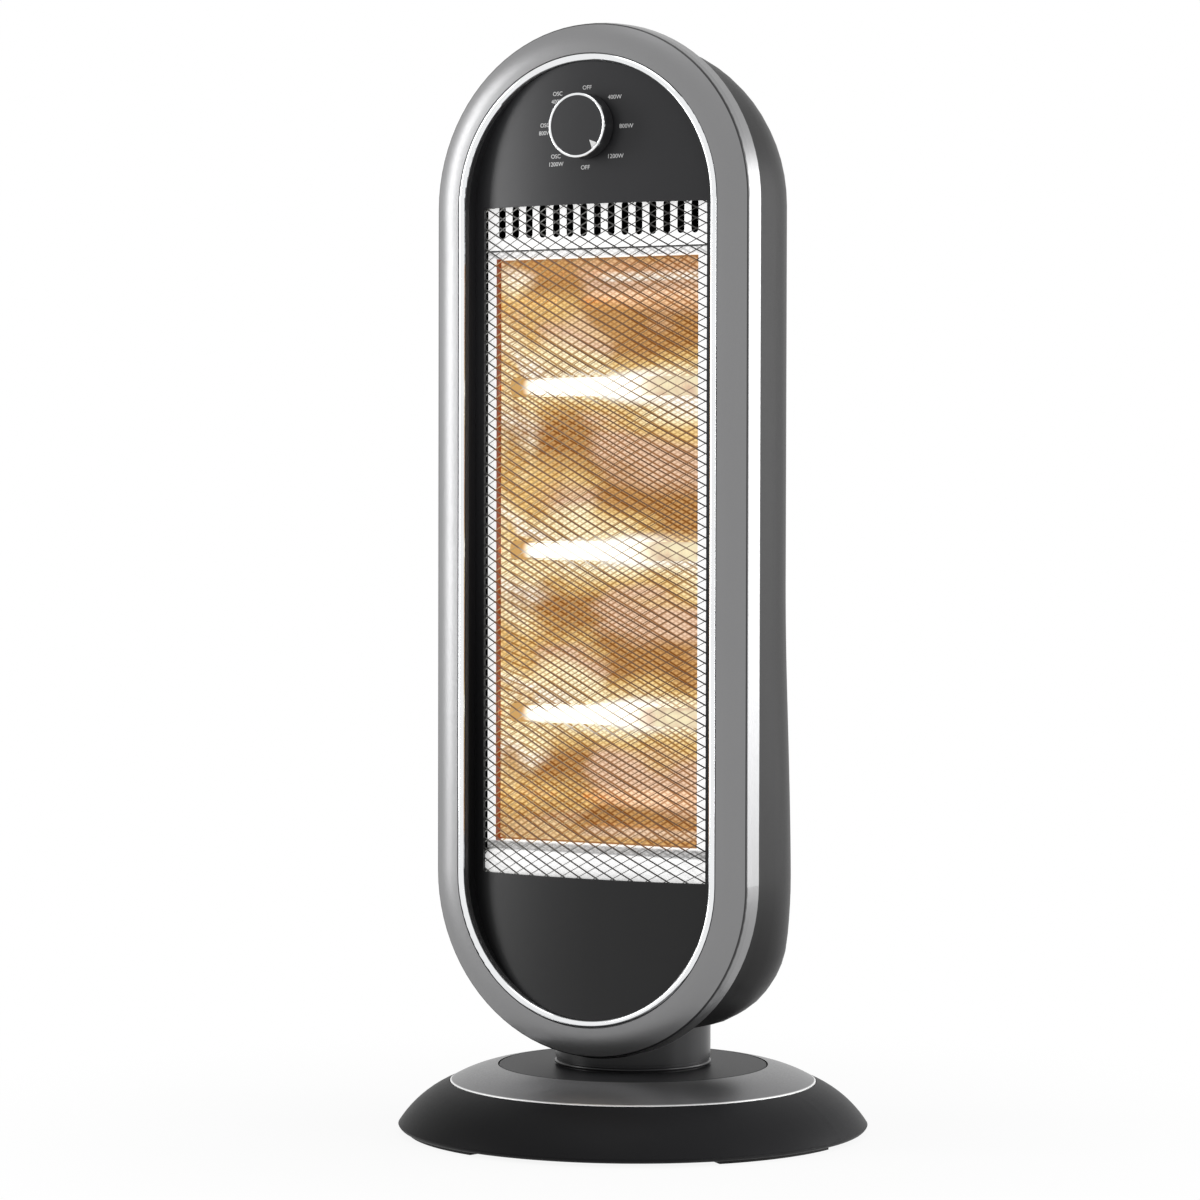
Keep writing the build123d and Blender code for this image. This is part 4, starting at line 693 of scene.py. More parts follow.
@dataclass(frozen=True)
class GuardFinish:
    """Dark enamel on steel strands with painted light: grey outside the lit cavity, warm over it and
    washed out over the lamps.
    """

    name: str = "guard_enamel"
    enamel: Colour = (0.018, 0.016, 0.015)
    # Painted light emitted outside the lit cavity: lighter on the left and on the rising strands.
    grey_left: Colour = (0.045, 0.045, 0.043)
    grey_right: Colour = (0.02, 0.02, 0.02)
    grey_rising: Colour = (0.22, 0.22, 0.21)
    # Painted lamp light on the strands over the lit cavity, washed out in the lamp streaks.
    warm: Colour = (0.12, 0.052, 0.018)
    washed: Colour = (1.0, 0.93, 0.8)
    edge: float = 1.0 * MM
    grey_reach: float = 64.0 * MM
    streak: Streak = Streak((-40.0 * MM, 30.0 * MM), (3.0 * MM, 9.5 * MM), (0.4, 1.4),
                            (-46.0 * MM, -34.0 * MM), (-4.0 * MM, 34.0 * MM), 0.12)
    # Painted pale gold light on the rising strands, stronger on the left.
    pale_span: Span = (-30.0 * MM, 40.0 * MM)
    pale: Span = (0.38, 0.06)
    falling_span: Span = (0.34 * MM, 0.46 * MM)

    def lit(self, graph: Graph) -> Socket:
        """Tell where the strands cross the lit cavity.

        Args:
            graph: Graph that the nodes go into.

        Returns:
            A socket that is 1 there.
        """
        x, _, z = graph.axes
        side = graph.math("SUBTRACT", graph.math("ABSOLUTE", x), CAVITY_HALF_WIDTH)
        return graph.fold("MULTIPLY", graph.fade(side, 0.0, 1.5 * self.edge),
                          graph.step(z, CAVITY_BOTTOM - self.edge, CAVITY_BOTTOM + self.edge),
                          graph.fade(z, CAVITY_TOP - self.edge, CAVITY_TOP + self.edge))

    def material(self) -> bpy.types.Material:
        """Build the node material.

        Returns:
            The strands' material.
        """
        material, graph = empty_material(self.name)
        x, _, z = graph.axes
        height = graph.math("SUBTRACT", z, GUARD_MIDDLE)
        rising = graph.step(graph.strand_distance(x, height, False), *self.falling_span)
        mottle = graph.noise(40.0)
        warm = graph.mix(mottle, shade(self.warm, 0.7), shade(self.warm, 1.5))
        pale = graph.math("MULTIPLY", rising, graph.step(x, *self.pale_span, *self.pale))
        warm = graph.mix(pale, warm, GOLD)
        lamp_side = graph.mix(self.streak.mask(graph), warm, self.washed)
        grey = graph.mix(rising, self.grey_left, self.grey_rising)
        right = graph.step(x, -self.grey_reach, self.grey_reach)
        grey = graph.mix(right, grey, self.grey_right)
        graph.feed(graph.tree.nodes["Principled BSDF"], {
            "Base Color": graph.mix(mottle, self.enamel, shade(self.enamel, 1.5)),
            "Roughness": graph.step(graph.noise(1200.0), 0.0, 1.0, 0.38, 0.55),
            "Specular IOR Level": 0.3,
            # Painted light: the strands glow grey outside the cavity, warm over it and washed out in
            # the lamp streaks.
            "Emission Color": graph.mix(self.lit(graph), grey, lamp_side),
            "Emission Strength": 1.0,
        })
        return material


@dataclass(frozen=True)
class QuartzFinish:
    """Clear quartz with a milky glow round the coil, passing to gold at the far end."""

    name: str = "quartz_clear"
    tint: Colour = (1.0, 0.95, 0.86)
    glow: Colour = (1.0, 0.94, 0.8)
    end_tone: Colour = (0.72, 0.42, 0.15)
    strength: float = 1.9
    pale_strength: float = 0.95
    end_strength: float = 0.9
    start_span: Span = (-54.0 * MM, -44.0 * MM)
    fade_span: Span = (4.0 * MM, 34.0 * MM)
    end_span: Span = (53.0 * MM, 55.0 * MM)
    widening: Span = (-40.0 * MM, 10.0 * MM)
    thickness: Span = (3.9 * MM, 5.4 * MM)
    thinnest: float = 0.12

    def material(self) -> bpy.types.Material:
        """Build the node material.

        Returns:
            A clear and glossy tube with a glowing middle stretch.
        """
        material, graph = empty_material(self.name)
        graph.tree.nodes.remove(graph.tree.nodes["Principled BSDF"])
        x = graph.axes[0]
        fading = graph.step(x, *self.fade_span)
        thick = graph.step(x, *self.widening, *self.thickness)
        core = graph.math("DIVIDE", graph.lamp_distance(), thick)
        milky = graph.fold("MULTIPLY", graph.step(core, 0.85, 1.1, 1.0, self.thinnest),
                           graph.step(x, *self.start_span),
                           graph.step(fading, 0.0, 1.0, 0.97, 0.88))
        clear = graph.add("BsdfTransparent", {"Color": (*self.tint, 1.0)}).outputs["BSDF"]
        gloss = graph.add("BsdfGlossy", {"Roughness": 0.05}).outputs["BSDF"]
        rim = graph.add("LayerWeight", {"Blend": 0.08}).outputs["Fresnel"]
        pale = graph.mix(graph.step(graph.noise(90.0), 0.3, 0.7), ROSE, PALE)
        power = graph.step(fading, 0.0, 1.0, self.strength, self.pale_strength)
        lit = {"Color": graph.mix(fading, self.glow, pale), "Strength": power}
        end = {"Color": (*self.end_tone, 1.0), "Strength": self.end_strength}
        hot, warm = (graph.add("Emission", inputs).outputs["Emission"] for inputs in (lit, end))
        sealed = graph.step(graph.math("ABSOLUTE", x), *self.end_span)
        whole = clear
        for factor, over in ((rim, gloss), (milky, hot), (sealed, warm)):
            whole = graph.add("MixShader", {"Fac": factor, 1: whole, 2: over}).outputs["Shader"]
        graph.tree.links.new(whole, graph.tree.nodes["Material Output"].inputs["Surface"])
        return material


@dataclass(frozen=True)
class GlowFinish:
    """Glowing coil, hottest in the middle of its length."""

    name: str = "coil_glow"
    hot: Colour = (1.0, 0.74, 0.42)
    cool: Colour = (1.0, 0.36, 0.08)
    strength: float = 4.0
    cooling_span: Span = (36.4 * MM, 52.0 * MM)

    def material(self) -> bpy.types.Material:
        """Build the node material.

        Returns:
            An emitting material whose colour cools towards the coil's ends.
        """
        material, graph = empty_material(self.name)
        cooling = graph.step(graph.math("ABSOLUTE", graph.axes[0]), *self.cooling_span)
        graph.feed(graph.tree.nodes["Principled BSDF"], {
            "Base Color": (*self.hot, 1.0),
            "Emission Strength": self.strength,
            "Emission Color": graph.mix(cooling, self.hot, self.cool),
        })
        return material


# Painted shade: the skirt is darker towards -X.
SKIRT = SideShadeFinish("skirt_black", (0.014, 0.014, 0.015), 0.42, specular=0.05,
                   grain_size=0.5 * MM, shade_factor=0.2)
DISC = Finish("disc_charcoal", (0.015, 0.015, 0.016), 0.45, specular=0.12)
SHELL = Finish("shell_charcoal", (0.019, 0.0187, 0.019), 0.4, specular=0.09)
# Painted shade: the panel is darker towards the bottom, below 0.2 m.
PANEL = SideShadeFinish("panel_black", (0.025, 0.025, 0.027), 0.36, specular=0.3, axis=2,
                   span=(0.2, 0.4), shade_factor=0.3)
# Painted shade: the neck is darker towards -X.
NECK = SideShadeFinish("neck_black", (0.014, 0.014, 0.015), 0.3, specular=0.25, relief=0.008 * MM,
                  gloss_spread=0.03, span=(-20.0 * MM, 30.0 * MM), shade_factor=0.2)
# Painted shade: the bezel's silver carries a dark line of groove shade along its edge.
SILVER = GrooveShadeFinish("silver_paint", (0.24, 0.24, 0.243), 0.34, metallic=0.85, grain=Grain.PEEL,
                    grain_size=0.9 * MM, relief=0.02 * MM, tone_spread=0.04)
# Painted highlight: the ring's outermost millimetre is near white.
RING = RimHighlightFinish("ring_paint", (0.17, 0.17, 0.173), 0.36, metallic=0.85, grain=Grain.PEEL,
                 grain_size=0.9 * MM, relief=0.02 * MM, tone_spread=0.04,
                 highlight_span=(95.5 * MM, 96.4 * MM))
CHROME = Finish("trim_chrome", (0.86, 0.87, 0.88), 0.08, metallic=1.0, grain=Grain.SMOOTH,
                gloss_spread=0.03)
# Painted light: the vent plate glows white with glow 0.6, and its faces set back behind the front
# face are painted near black as shade.
FLANGE = SideShadeFinish("flange_sheet", (0.95, 0.95, 0.95), 0.4, metallic=0.1, grain=Grain.DRAWN,
                    grain_size=3.0 * MM, tone_spread=0.03, glow=0.6, axis=1,
                    span=(-38.8 * MM, -38.92 * MM), shade_factor=0.02)
# Painted light: the lip glows white with glow 0.5.
LIP = Finish("lip_sheet", (0.93, 0.93, 0.93), 0.3, metallic=0.3, grain=Grain.DRAWN,
             grain_size=3.0 * MM, tone_spread=0.05, glow=0.5)
ZINC = Finish("zinc_steel", (0.55, 0.55, 0.56), 0.38, metallic=1.0, grain=Grain.DRAWN,
              grain_size=2.0 * MM)
RUBBER = Finish("foot_rubber", (0.02, 0.02, 0.02), 0.7, specular=0.2, grain_size=0.9 * MM)
CERAMIC = Finish("cap_ceramic", (0.82, 0.8, 0.76), 0.55, grain_size=0.8 * MM)
NYLON = Finish("natural_nylon", (0.78, 0.77, 0.72), 0.5)
INK = Finish("dial_white", (0.8, 0.8, 0.8), 0.5, grain=Grain.SMOOTH, tone_spread=0.02)
PRINT = Finish("dial_print", (0.8, 0.8, 0.8), 0.5, grain=Grain.SMOOTH, tone_spread=0.02)
KNOB = Finish("knob_charcoal", (0.028, 0.028, 0.03), 0.34, specular=0.35)
BRASS = Finish("shaft_brass", (0.7, 0.52, 0.25), 0.3, metallic=1.0, grain=Grain.DRAWN)
MIRROR = ReflectorFinish()
GUARD_STEEL = GuardFinish()
QUARTZ = QuartzFinish()
GLOW = GlowFinish()


class Wardrobe:
    """Makes each finish once and hands it to the pieces."""

    def __init__(self) -> None:
        """Start with no finishes made."""
        self.made: dict[str, bpy.types.Material] = {}

    def dress(self, piece: bpy.types.Object, finish: Dressing) -> None:
        """Give a piece one finish in all its slots.

        Args:
            piece: The mesh object.
            finish: The finish to wear, made on its first use.
        """
        if finish.name not in self.made:
            self.made[finish.name] = finish.material()
        if not piece.material_slots:
            piece.data.materials.append(self.made[finish.name])
        for slot in piece.material_slots:
            slot.material = self.made[finish.name]


def piece_from(bm: bmesh.types.BMesh, name: str, sharp: float | None = None) -> bpy.types.Object:
    """Turn a bmesh into a scene object at the origin.

    Args:
        bm: The finished bmesh, freed here.
        name: Name of the piece.
        sharp: Angle in degrees from which an edge is shaded sharp, or None for flat faces.

    Returns:
        The new object.
    """
    for face in bm.faces:
        face.smooth = sharp is not None
    if sharp is not None:
        limit = math.radians(sharp)
        for edge in bm.edges:
            edge.smooth = len(edge.link_faces) == 2 and edge.calc_face_angle(0.0) < limit
    mesh = bpy.data.meshes.new(name)
    bm.to_mesh(mesh)
    bm.free()
    piece = bpy.data.objects.new(name, mesh)
    bpy.context.collection.objects.link(piece)
    return piece


@dataclass
class Assembly:
    """One sub-assembly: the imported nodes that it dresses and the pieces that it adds."""

    wardrobe: Wardrobe
    body: ClassVar[str] = "head"
    finishes: ClassVar[dict[str, Dressing]] = {}

    def build(self) -> None:
        """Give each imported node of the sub-assembly its finish."""
        for node, finish in self.finishes.items():
            self.wardrobe.dress(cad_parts[node], finish)

    def add_piece(self, piece: bpy.types.Object, finish: Dressing, slot: str,
                  *replaced: str) -> None:
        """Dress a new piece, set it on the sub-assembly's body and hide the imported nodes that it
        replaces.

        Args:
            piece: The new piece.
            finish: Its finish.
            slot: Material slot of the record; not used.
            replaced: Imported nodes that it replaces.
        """
        self.wardrobe.dress(piece, finish)
        if replaced:
            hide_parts(*replaced)
        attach(piece, self.body)
        log.info("%s: %d faces", piece.name, len(piece.data.polygons))


@dataclass
class Base(Assembly):
    """Round base with its ring, disc, weights, switch and lead entry."""

    body: ClassVar[str] = "base"
    finishes: ClassVar[dict[str, Dressing]] = {
        "base_skirt": SKIRT, "base_silver_ring": RING, "base_top_disc": DISC,
        "base_bottom_plate": SKIRT, "base_feet": RUBBER, "base_screws": ZINC,
        "ballast_plate": ZINC, "cable_bushing": RUBBER, "base_terminal_block": NYLON,
        "tip_switch_housing": NYLON, "tip_switch_plunger": NYLON, "tip_switch_spring": ZINC,
        "lower_lead": RUBBER,
    }


@dataclass
class Drive(Assembly):
    """Motor, crank and slotted plate that swing the head."""

    body: ClassVar[str] = "drive"
    finishes: ClassVar[dict[str, Dressing]] = {
        "oscillation_motor": ZINC, "motor_bracket": ZINC, "motor_screws": ZINC,
        "motor_shaft": ZINC, "drive_crank": NYLON, "swing_plate": ZINC,
        "swing_plate_screws": ZINC, "neck_washer": NECK,
    }


@dataclass
class Neck(Assembly):
    """Collar under the head with the lead that runs up in it."""

    finishes: ClassVar[dict[str, Dressing]] = {
        "neck_collar": NECK, "neck_screws": ZINC, "upper_lead": RUBBER,
    }


@dataclass
class Shell(Assembly):
    """Rear cover: a round-backed body that swells out over the neck, with two groups of vents."""

    finishes: ClassVar[dict[str, Dressing]] = {"shell_screws": ZINC}
    centres: Span = (486.0 * MM, 137.0 * MM)
    radius: float = 88.0 * MM
    round_steps: int = 32
    bend_steps: int = 14
    rows: int = 48
    front_y: float = -35.0 * MM
    back_y: float = 46.0 * MM
    back_round: float = 55.0 * MM
    wall: float = 2.4 * MM
    depth_share: float = 60.0 / 87.6
    blend: float = 0.09
    vents: Span = (430.0 * MM, 300.0 * MM)
    vent_size: Span = (54.0 * MM, 3.2 * MM)
    vent_depth: float = 30.0 * MM
    vent_pitch: float = 8.0 * MM
    vent_rows: int = 8
    clamp_reach: float = 79.0 * MM
    clamp_middle: float = 264.0 * MM
    clamp_angle: float = 50.0
    clamp_seat_y: float = -26.0 * MM
    post_radius: float = 4.2 * MM
    hole_radius: float = 3.0 * MM
    rod_length: float = 100.0 * MM
    near: float = 0.01 * MM
    swell: tuple[Span, ...] = (
        (55.0, 31.0), (59.6, 50.0), (67.4, 65.0), (76.6, 75.0), (87.6, 82.0), (99.9, 86.0),
        (121.5, 87.6), (175.0, 86.6), (230.0, 83.4), (300.0, 76.5), (362.0, 67.0), (400.0, 60.0),
    )

    def swell_half_width(self, z: float) -> float:
        """Half width of the swell at one height, on a smooth curve through its table.

        Args:
            z: Height in metres.

        Returns:
            The half width in metres, or 0 above and below the swell.
        """
        table = self.swell
        z = z / MM
        if not table[0][0] <= z < table[-1][0]:
            return 0.0
        at = max(i for i, row in enumerate(table) if row[0] <= z)
        (z0, w0), (z1, w1) = table[at], table[at + 1]
        before, after = table[max(at - 1, 0)], table[min(at + 2, len(table) - 1)]
        slope0 = (w1 - before[1]) / (z1 - before[0])
        slope1 = (after[1] - w0) / (after[0] - z0)
        t, span = (z - z0) / (z1 - z0), z1 - z0
        return MM * (
            w0 * (1 + 2 * t) * (1 - t) ** 2 + slope0 * span * t * (1 - t) ** 2
            + w1 * t ** 2 * (3 - 2 * t) + slope1 * span * t ** 2 * (t - 1)
        )

    def skin(self, name: str, inset: float, front_y: float) -> bpy.types.Object:
        """Build the closed outer form, moved in by an inset.

        Args:
            name: Name of the piece.
            inset: How far it is moved in.
            front_y: Depth of its open front.

        Returns:
            The closed form.
        """
        radius, bend = self.radius - inset, self.back_round - inset
        start = self.back_y - self.back_round
        flat = radius - bend
        profile = [(flat * share, start + bend) for share in (0.0, 0.5, 1.0)]
        for step in range(1, self.bend_steps + 1):
            turn = math.radians(90.0 * step / self.bend_steps)
            profile.append((flat + bend * math.sin(turn), start + bend * math.cos(turn)))
        profile += [(radius, start + (front_y - start) * share) for share in (0.33, 0.66, 1.0)]
        bm = bmesh.new()
        chain = [bm.verts.new((across, y, self.centres[0])) for across, y in profile]
        edges = [bm.edges.new(pair) for pair in zip(chain, chain[1:])]
        upper, lower = (Vector((0, 0, centre)) for centre in self.centres)
        drop = (lower - upper) / self.rows
        last = bmesh.ops.spin(bm, geom=edges, cent=upper, axis=(0, 1, 0), angle=-math.pi,
                              steps=self.round_steps)["geom_last"]
        moving = edges + [item for item in last if isinstance(item, bmesh.types.BMEdge)]
        for _ in range(self.rows):
            made = bmesh.ops.extrude_edge_only(bm, edges=moving)["geom"]
            verts = [item for item in made if isinstance(item, bmesh.types.BMVert)]
            bmesh.ops.translate(bm, vec=drop, verts=verts)
            moving = [item for item in made if isinstance(item, bmesh.types.BMEdge)
                      and abs(item.verts[0].co.z - item.verts[1].co.z) < self.near]
        right = [edge for edge in moving if edge.verts[0].co.x + edge.verts[1].co.x > 0]
        bmesh.ops.spin(bm, geom=right, cent=lower, axis=(0, 1, 0), angle=math.pi,
                       steps=self.round_steps)
        bmesh.ops.remove_doubles(bm, verts=bm.verts, dist=2 * self.near)
        rim = [edge for edge in bm.edges if edge.is_boundary]
        bmesh.ops.contextual_create(bm, geom=rim)
        for vert in bm.verts:
            wide = self.swell_half_width(vert.co.z) - inset
            if wide > 0 and vert.co.y > front_y + self.near:
                deep = wide * self.depth_share
                share = math.hypot(vert.co.x / wide, vert.co.y / deep)
                push = 1 / share if share > 0.2 else 1.0
                near = max(self.blend - abs(push - 1), 0.0) / self.blend
                push = max(push, 1.0) + near * near * self.blend / 4
                vert.co = Vector((vert.co.x * push, vert.co.y * push, vert.co.z))
        bmesh.ops.recalc_face_normals(bm, faces=bm.faces)
        return piece_from(bm, name, 35.0)

    def clamp_points(self) -> list[Span]:
        """Places of the six screws, as X and Z.

        Returns:
            The places.
        """
        points = [(side * self.clamp_reach, self.clamp_middle) for side in (-1, 1)]
        turn = math.radians(self.clamp_angle)
        for centre, up in zip(self.centres, (1, -1)):
            for side in (-1, 1):
                points.append((side * self.clamp_reach * math.cos(turn),
                               centre + up * self.clamp_reach * math.sin(turn)))
        return points

    def rods(self, name: str, radius: float) -> bpy.types.Object:
        """Build a rod along the depth at each screw.

        Args:
            name: Name of the piece.
            radius: Radius of the rods.

        Returns:
            The rods.
        """
        bm = bmesh.new()
        middle_y = self.clamp_seat_y + self.rod_length / 2
        for x, z in self.clamp_points():
            lay = Matrix.Translation((x, middle_y, z)) @ Matrix.Rotation(math.pi / 2, 4, "X")
            bmesh.ops.create_cone(bm, cap_ends=True, segments=24, radius1=radius,
                                  radius2=radius, depth=self.rod_length, matrix=lay)
        return piece_from(bm, name)

    def slots(self) -> bpy.types.Object:
        """Build the round-ended cutters of the vents.

        Returns:
            The cutters.
        """
        bm = bmesh.new()
        wide, high = self.vent_size
        for group in self.vents:
            for row in range(self.vent_rows):
                z = group + (row - (self.vent_rows - 1) / 2) * self.vent_pitch
                spot = Matrix.Translation((0, self.back_y + 3.0 * MM, z))
                size = Matrix.Diagonal((wide, self.vent_depth, high, 1))
                bmesh.ops.create_cube(bm, size=1.0, matrix=spot @ size)
        corners = [edge for edge in bm.edges
                   if abs(edge.verts[0].co.y - edge.verts[1].co.y) > self.vent_depth / 3]
        bmesh.ops.bevel(bm, geom=corners, offset=high * 0.49, segments=5, profile=0.5,
                        affect="EDGES", material=-1)
        return piece_from(bm, "vent_cutters")

    @staticmethod
    def carve(target: bpy.types.Object, cutter: bpy.types.Object) -> None:
        """Take one form out of another, which is then thrown away.

        Args:
            target: Form that is cut.
            cutter: Form that is taken out of it.
        """
        cut = target.modifiers.new("cut", "BOOLEAN")
        cut.operation = "DIFFERENCE"
        cut.solver = "EXACT"
        cut.object = cutter
        seen = target.evaluated_get(bpy.context.evaluated_depsgraph_get())
        result = bpy.data.meshes.new_from_object(seen)
        target.modifiers.remove(cut)
        target.data = result
        bpy.data.objects.remove(cutter)

    def build(self) -> None:
        """Carve the hollow shell with its screw posts, holes and vents."""
        super().build()
        hollow = self.skin("hollow", self.wall, self.front_y - 2.0 * MM)
        self.carve(hollow, self.rods("posts", self.post_radius))
        shell = self.skin("shell_skin", 0.0, self.front_y)
        for cutter in (hollow, self.rods("holes", self.hole_radius), self.slots()):
            self.carve(shell, cutter)
        bm = bmesh.new()
        bm.from_mesh(shell.data)
        bpy.data.objects.remove(shell)
        cover = piece_from(bm, "rear_cover", 28.0)
        self.add_piece(cover, SHELL, "charcoal_moulding", "rear_shell")


@dataclass
class Face(Assembly):
    """Bezel, bright ring and bowed panel."""

    finishes: ClassVar[dict[str, Dressing]] = {
        "front_bezel": SILVER, "chrome_ring": CHROME, "front_panel": PANEL,
    }


@dataclass
class Dial(Assembly):
    """Switch, knob and the lettering round it."""

    finishes: ClassVar[dict[str, Dressing]] = {
        "rotary_switch": SKIRT, "switch_screws": ZINC, "switch_shaft": BRASS,
        "control_knob": KNOB, "knob_ring": CHROME, "knob_pointer": INK,
    }
    letter_size: float = 3.1 * MM
    letter_rise: float = 0.06 * MM
    line_step: float = 1.3
    bow_radius: float = 290.0 * MM
    bow_axis_y: float = 239.7 * MM
    labels: tuple[tuple[str, float, float], ...] = (
        ("OFF", 0.4, 545.6), ("400W", 16.6, 540.1), ("800W", 23.2, 525.0), ("1200W", 17.0, 509.8),
        ("OFF", -0.6, 504.6), ("OSC\n1200W", -18.7, 508.9), ("OSC\n800W", -25.6, 525.3),
        ("OSC\n400W", -17.6, 541.2),
    )

    def letters(self, words: str, x: float, z: float) -> bmesh.types.BMesh:
        """Shape one label, flat, facing the front.

        Args:
            words: Text of the label, with a line break where it has two lines.
            x: Its middle across, in millimetres.
            z: Its middle height, in millimetres.

        Returns:
            The letters as a bmesh.
        """
        curve = bpy.data.curves.new("label", "FONT")
        curve.body = words
        curve.size = self.letter_size
        curve.align_x, curve.align_y = "CENTER", "CENTER"
        curve.space_line = self.line_step
        curve.extrude = self.letter_rise
        curve.resolution_u = 3
        holder = bpy.data.objects.new("label", curve)
        bpy.context.collection.objects.link(holder)
        seen = holder.evaluated_get(bpy.context.evaluated_depsgraph_get())
        mesh = bpy.data.meshes.new_from_object(seen)
        bpy.data.objects.remove(holder)
        bm = bmesh.new()
        bm.from_mesh(mesh)
        bpy.data.meshes.remove(mesh)
        stand = Matrix.Translation((x * MM, 0, z * MM)) @ Matrix.Rotation(math.pi / 2, 4, "X")
        bmesh.ops.transform(bm, matrix=stand, verts=bm.verts)
        return bm

    def build(self) -> None:
        """Dress the dial and lay its lettering on the bowed panel."""
        super().build()
        whole = bmesh.new()
        for words, x, z in self.labels:
            one = self.letters(words, x, z)
            mesh = bpy.data.meshes.new("label")
            one.to_mesh(mesh)
            one.free()
            whole.from_mesh(mesh)
            bpy.data.meshes.remove(mesh)
        for vert in whole.verts:
            bow = self.bow_axis_y - math.sqrt(self.bow_radius ** 2 - vert.co.x ** 2)
            vert.co.y += bow - self.letter_rise / 2
        self.add_piece(piece_from(whole, "dial_lettering"), PRINT, "pointer_white")


@dataclass
class Reflector(Assembly):
    """Pan with its vent plate, lip and the parts that hold it."""

    finishes: ClassVar[dict[str, Dressing]] = {
        "reflector_pan": MIRROR, "reflector_vent_plate": FLANGE, "reflector_lip": LIP,
        "reflector_screws": ZINC, "lamp_rails": ZINC, "thermal_cutout": ZINC,
        "head_terminal_block": NYLON, "lamp_wiring": RUBBER,
    }


@dataclass
class Lamps(Assembly):
    """Three tubes with their caps and the coils that glow in them."""

    finishes: ClassVar[dict[str, Dressing]] = {
        kind + name: finish for kind, finish in (("lamp_tube_", QUARTZ), ("lamp_caps_", CERAMIC))
        for name in LAMPS
    }
    wire: float = 0.4 * MM
    coil: float = 1.4 * MM
    pitch: float = 2.0 * MM
    half_length: float = 52.0 * MM
    steps_in_turn: int = 8
    wire_sides: int = 5

    def wind(self, name: str) -> bpy.types.Object:
        """Wind the coil of one lamp.

        Args:
            name: Which lamp.

        Returns:
            The coil.
        """
        low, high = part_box("lamp_filament_" + name)
        centre = (low + high) / 2
        turns = int(2 * self.half_length / self.pitch)
        steps = self.steps_in_turn * turns
        bm = bmesh.new()
        lay = Matrix.Translation(centre + Vector((-self.half_length, 0, self.coil)))
        bmesh.ops.create_circle(bm, segments=self.wire_sides, radius=self.wire, cap_ends=True,
                                matrix=lay)
        bmesh.ops.spin(
            bm, geom=bm.verts[:] + bm.edges[:] + bm.faces[:], cent=centre, axis=(1, 0, 0),
            angle=math.tau * turns, steps=steps, dvec=(2 * self.half_length / steps, 0, 0),
        )
        bmesh.ops.recalc_face_normals(bm, faces=bm.faces)
        return piece_from(bm, "coil_" + name, 60.0)

    def build(self) -> None:
        """Dress the tubes and caps and wind the coils."""
        super().build()
        for name in LAMPS:
            self.add_piece(self.wind(name), GLOW, "filament", "lamp_filament_" + name)


@dataclass
class Guard(Assembly):
    """Bowed expanded-metal guard behind the front panel."""

    front_gap: float = 0.1 * MM
    strand: float = 0.36 * MM
    falling_share: float = 0.93
    thickness: float = 0.5 * MM
    bow_radius: float = 288.0 * MM
    inset: float = 0.5 * MM

    def lattice(self, half_width: float, half_height: float) -> bmesh.types.BMesh:
        """Cut a flat diamond lattice to size.

        Args:
            half_width: Half of its width.
            half_height: Half of its height.

        Returns:
            The lattice, one face to a cell.
        """
        cells = 2 * math.ceil(half_width / CELL_WIDTH + half_height / CELL_HEIGHT) + 2
        bm = bmesh.new()
        turn = Matrix.Rotation(math.radians(45), 4, "Z")
        stretch = Matrix.Diagonal((CELL_WIDTH / math.sqrt(2), CELL_HEIGHT / math.sqrt(2), 1, 1))
        bmesh.ops.create_grid(bm, x_segments=cells, y_segments=cells, size=cells / 2,
                              matrix=stretch @ turn)
        for side in (-1, 1):
            for point, normal in (((side * half_width, 0, 0), (side, 0, 0)),
                                  ((0, side * half_height, 0), (0, side, 0))):
                bmesh.ops.bisect_plane(bm, geom=bm.verts[:] + bm.edges[:] + bm.faces[:],
                                       plane_co=point, plane_no=normal, clear_outer=True)
        return bm

    def open_cells(self, bm: bmesh.types.BMesh) -> None:
        """Open the cells, leaving the falling strands a little wider than the rising ones.

        Args:
            bm: The lattice.
        """
        made = bmesh.ops.inset_individual(bm, faces=bm.faces[:], thickness=self.strand / 2,
                                          use_even_offset=True)
        rims = set(made["faces"])
        holes = [face for face in bm.faces if face not in rims]
        falling = Vector((CELL_WIDTH, -CELL_HEIGHT, 0)).normalized()
        rising = Vector((CELL_WIDTH, CELL_HEIGHT, 0)).normalized()
        across = falling.cross(rising).length
        for face in holes:
            middle = face.calc_center_median()
            for vert in face.verts:
                away = vert.co - middle
                along_rising = falling.cross(away).z / across
                vert.co -= rising * along_rising * (1 - self.falling_share)
        bmesh.ops.delete(bm, geom=holes, context="FACES")

    def build(self) -> None:
        """Stand the lattice up, bow it and thicken it."""
        half_height = (GUARD_HIGH.z - GUARD_LOW.z) / 2
        bm = self.lattice(GUARD_HIGH.x - self.inset, half_height - self.inset)
        self.open_cells(bm)
        spot = Matrix.Translation((0, GUARD_LOW.y + self.front_gap, GUARD_MIDDLE))
        stand = spot @ Matrix.Rotation(math.pi / 2, 4, "X")
        bmesh.ops.transform(bm, matrix=stand, verts=bm.verts)
        for vert in bm.verts:
            vert.co.y += self.bow_radius - math.sqrt(self.bow_radius ** 2 - vert.co.x ** 2)
        bmesh.ops.recalc_face_normals(bm, faces=bm.faces)
        bmesh.ops.solidify(bm, geom=bm.faces[:], thickness=self.thickness)
        lattice = piece_from(bm, "guard_lattice")
        self.add_piece(lattice, GUARD_STEEL, "guard_steel", "guard_mesh")


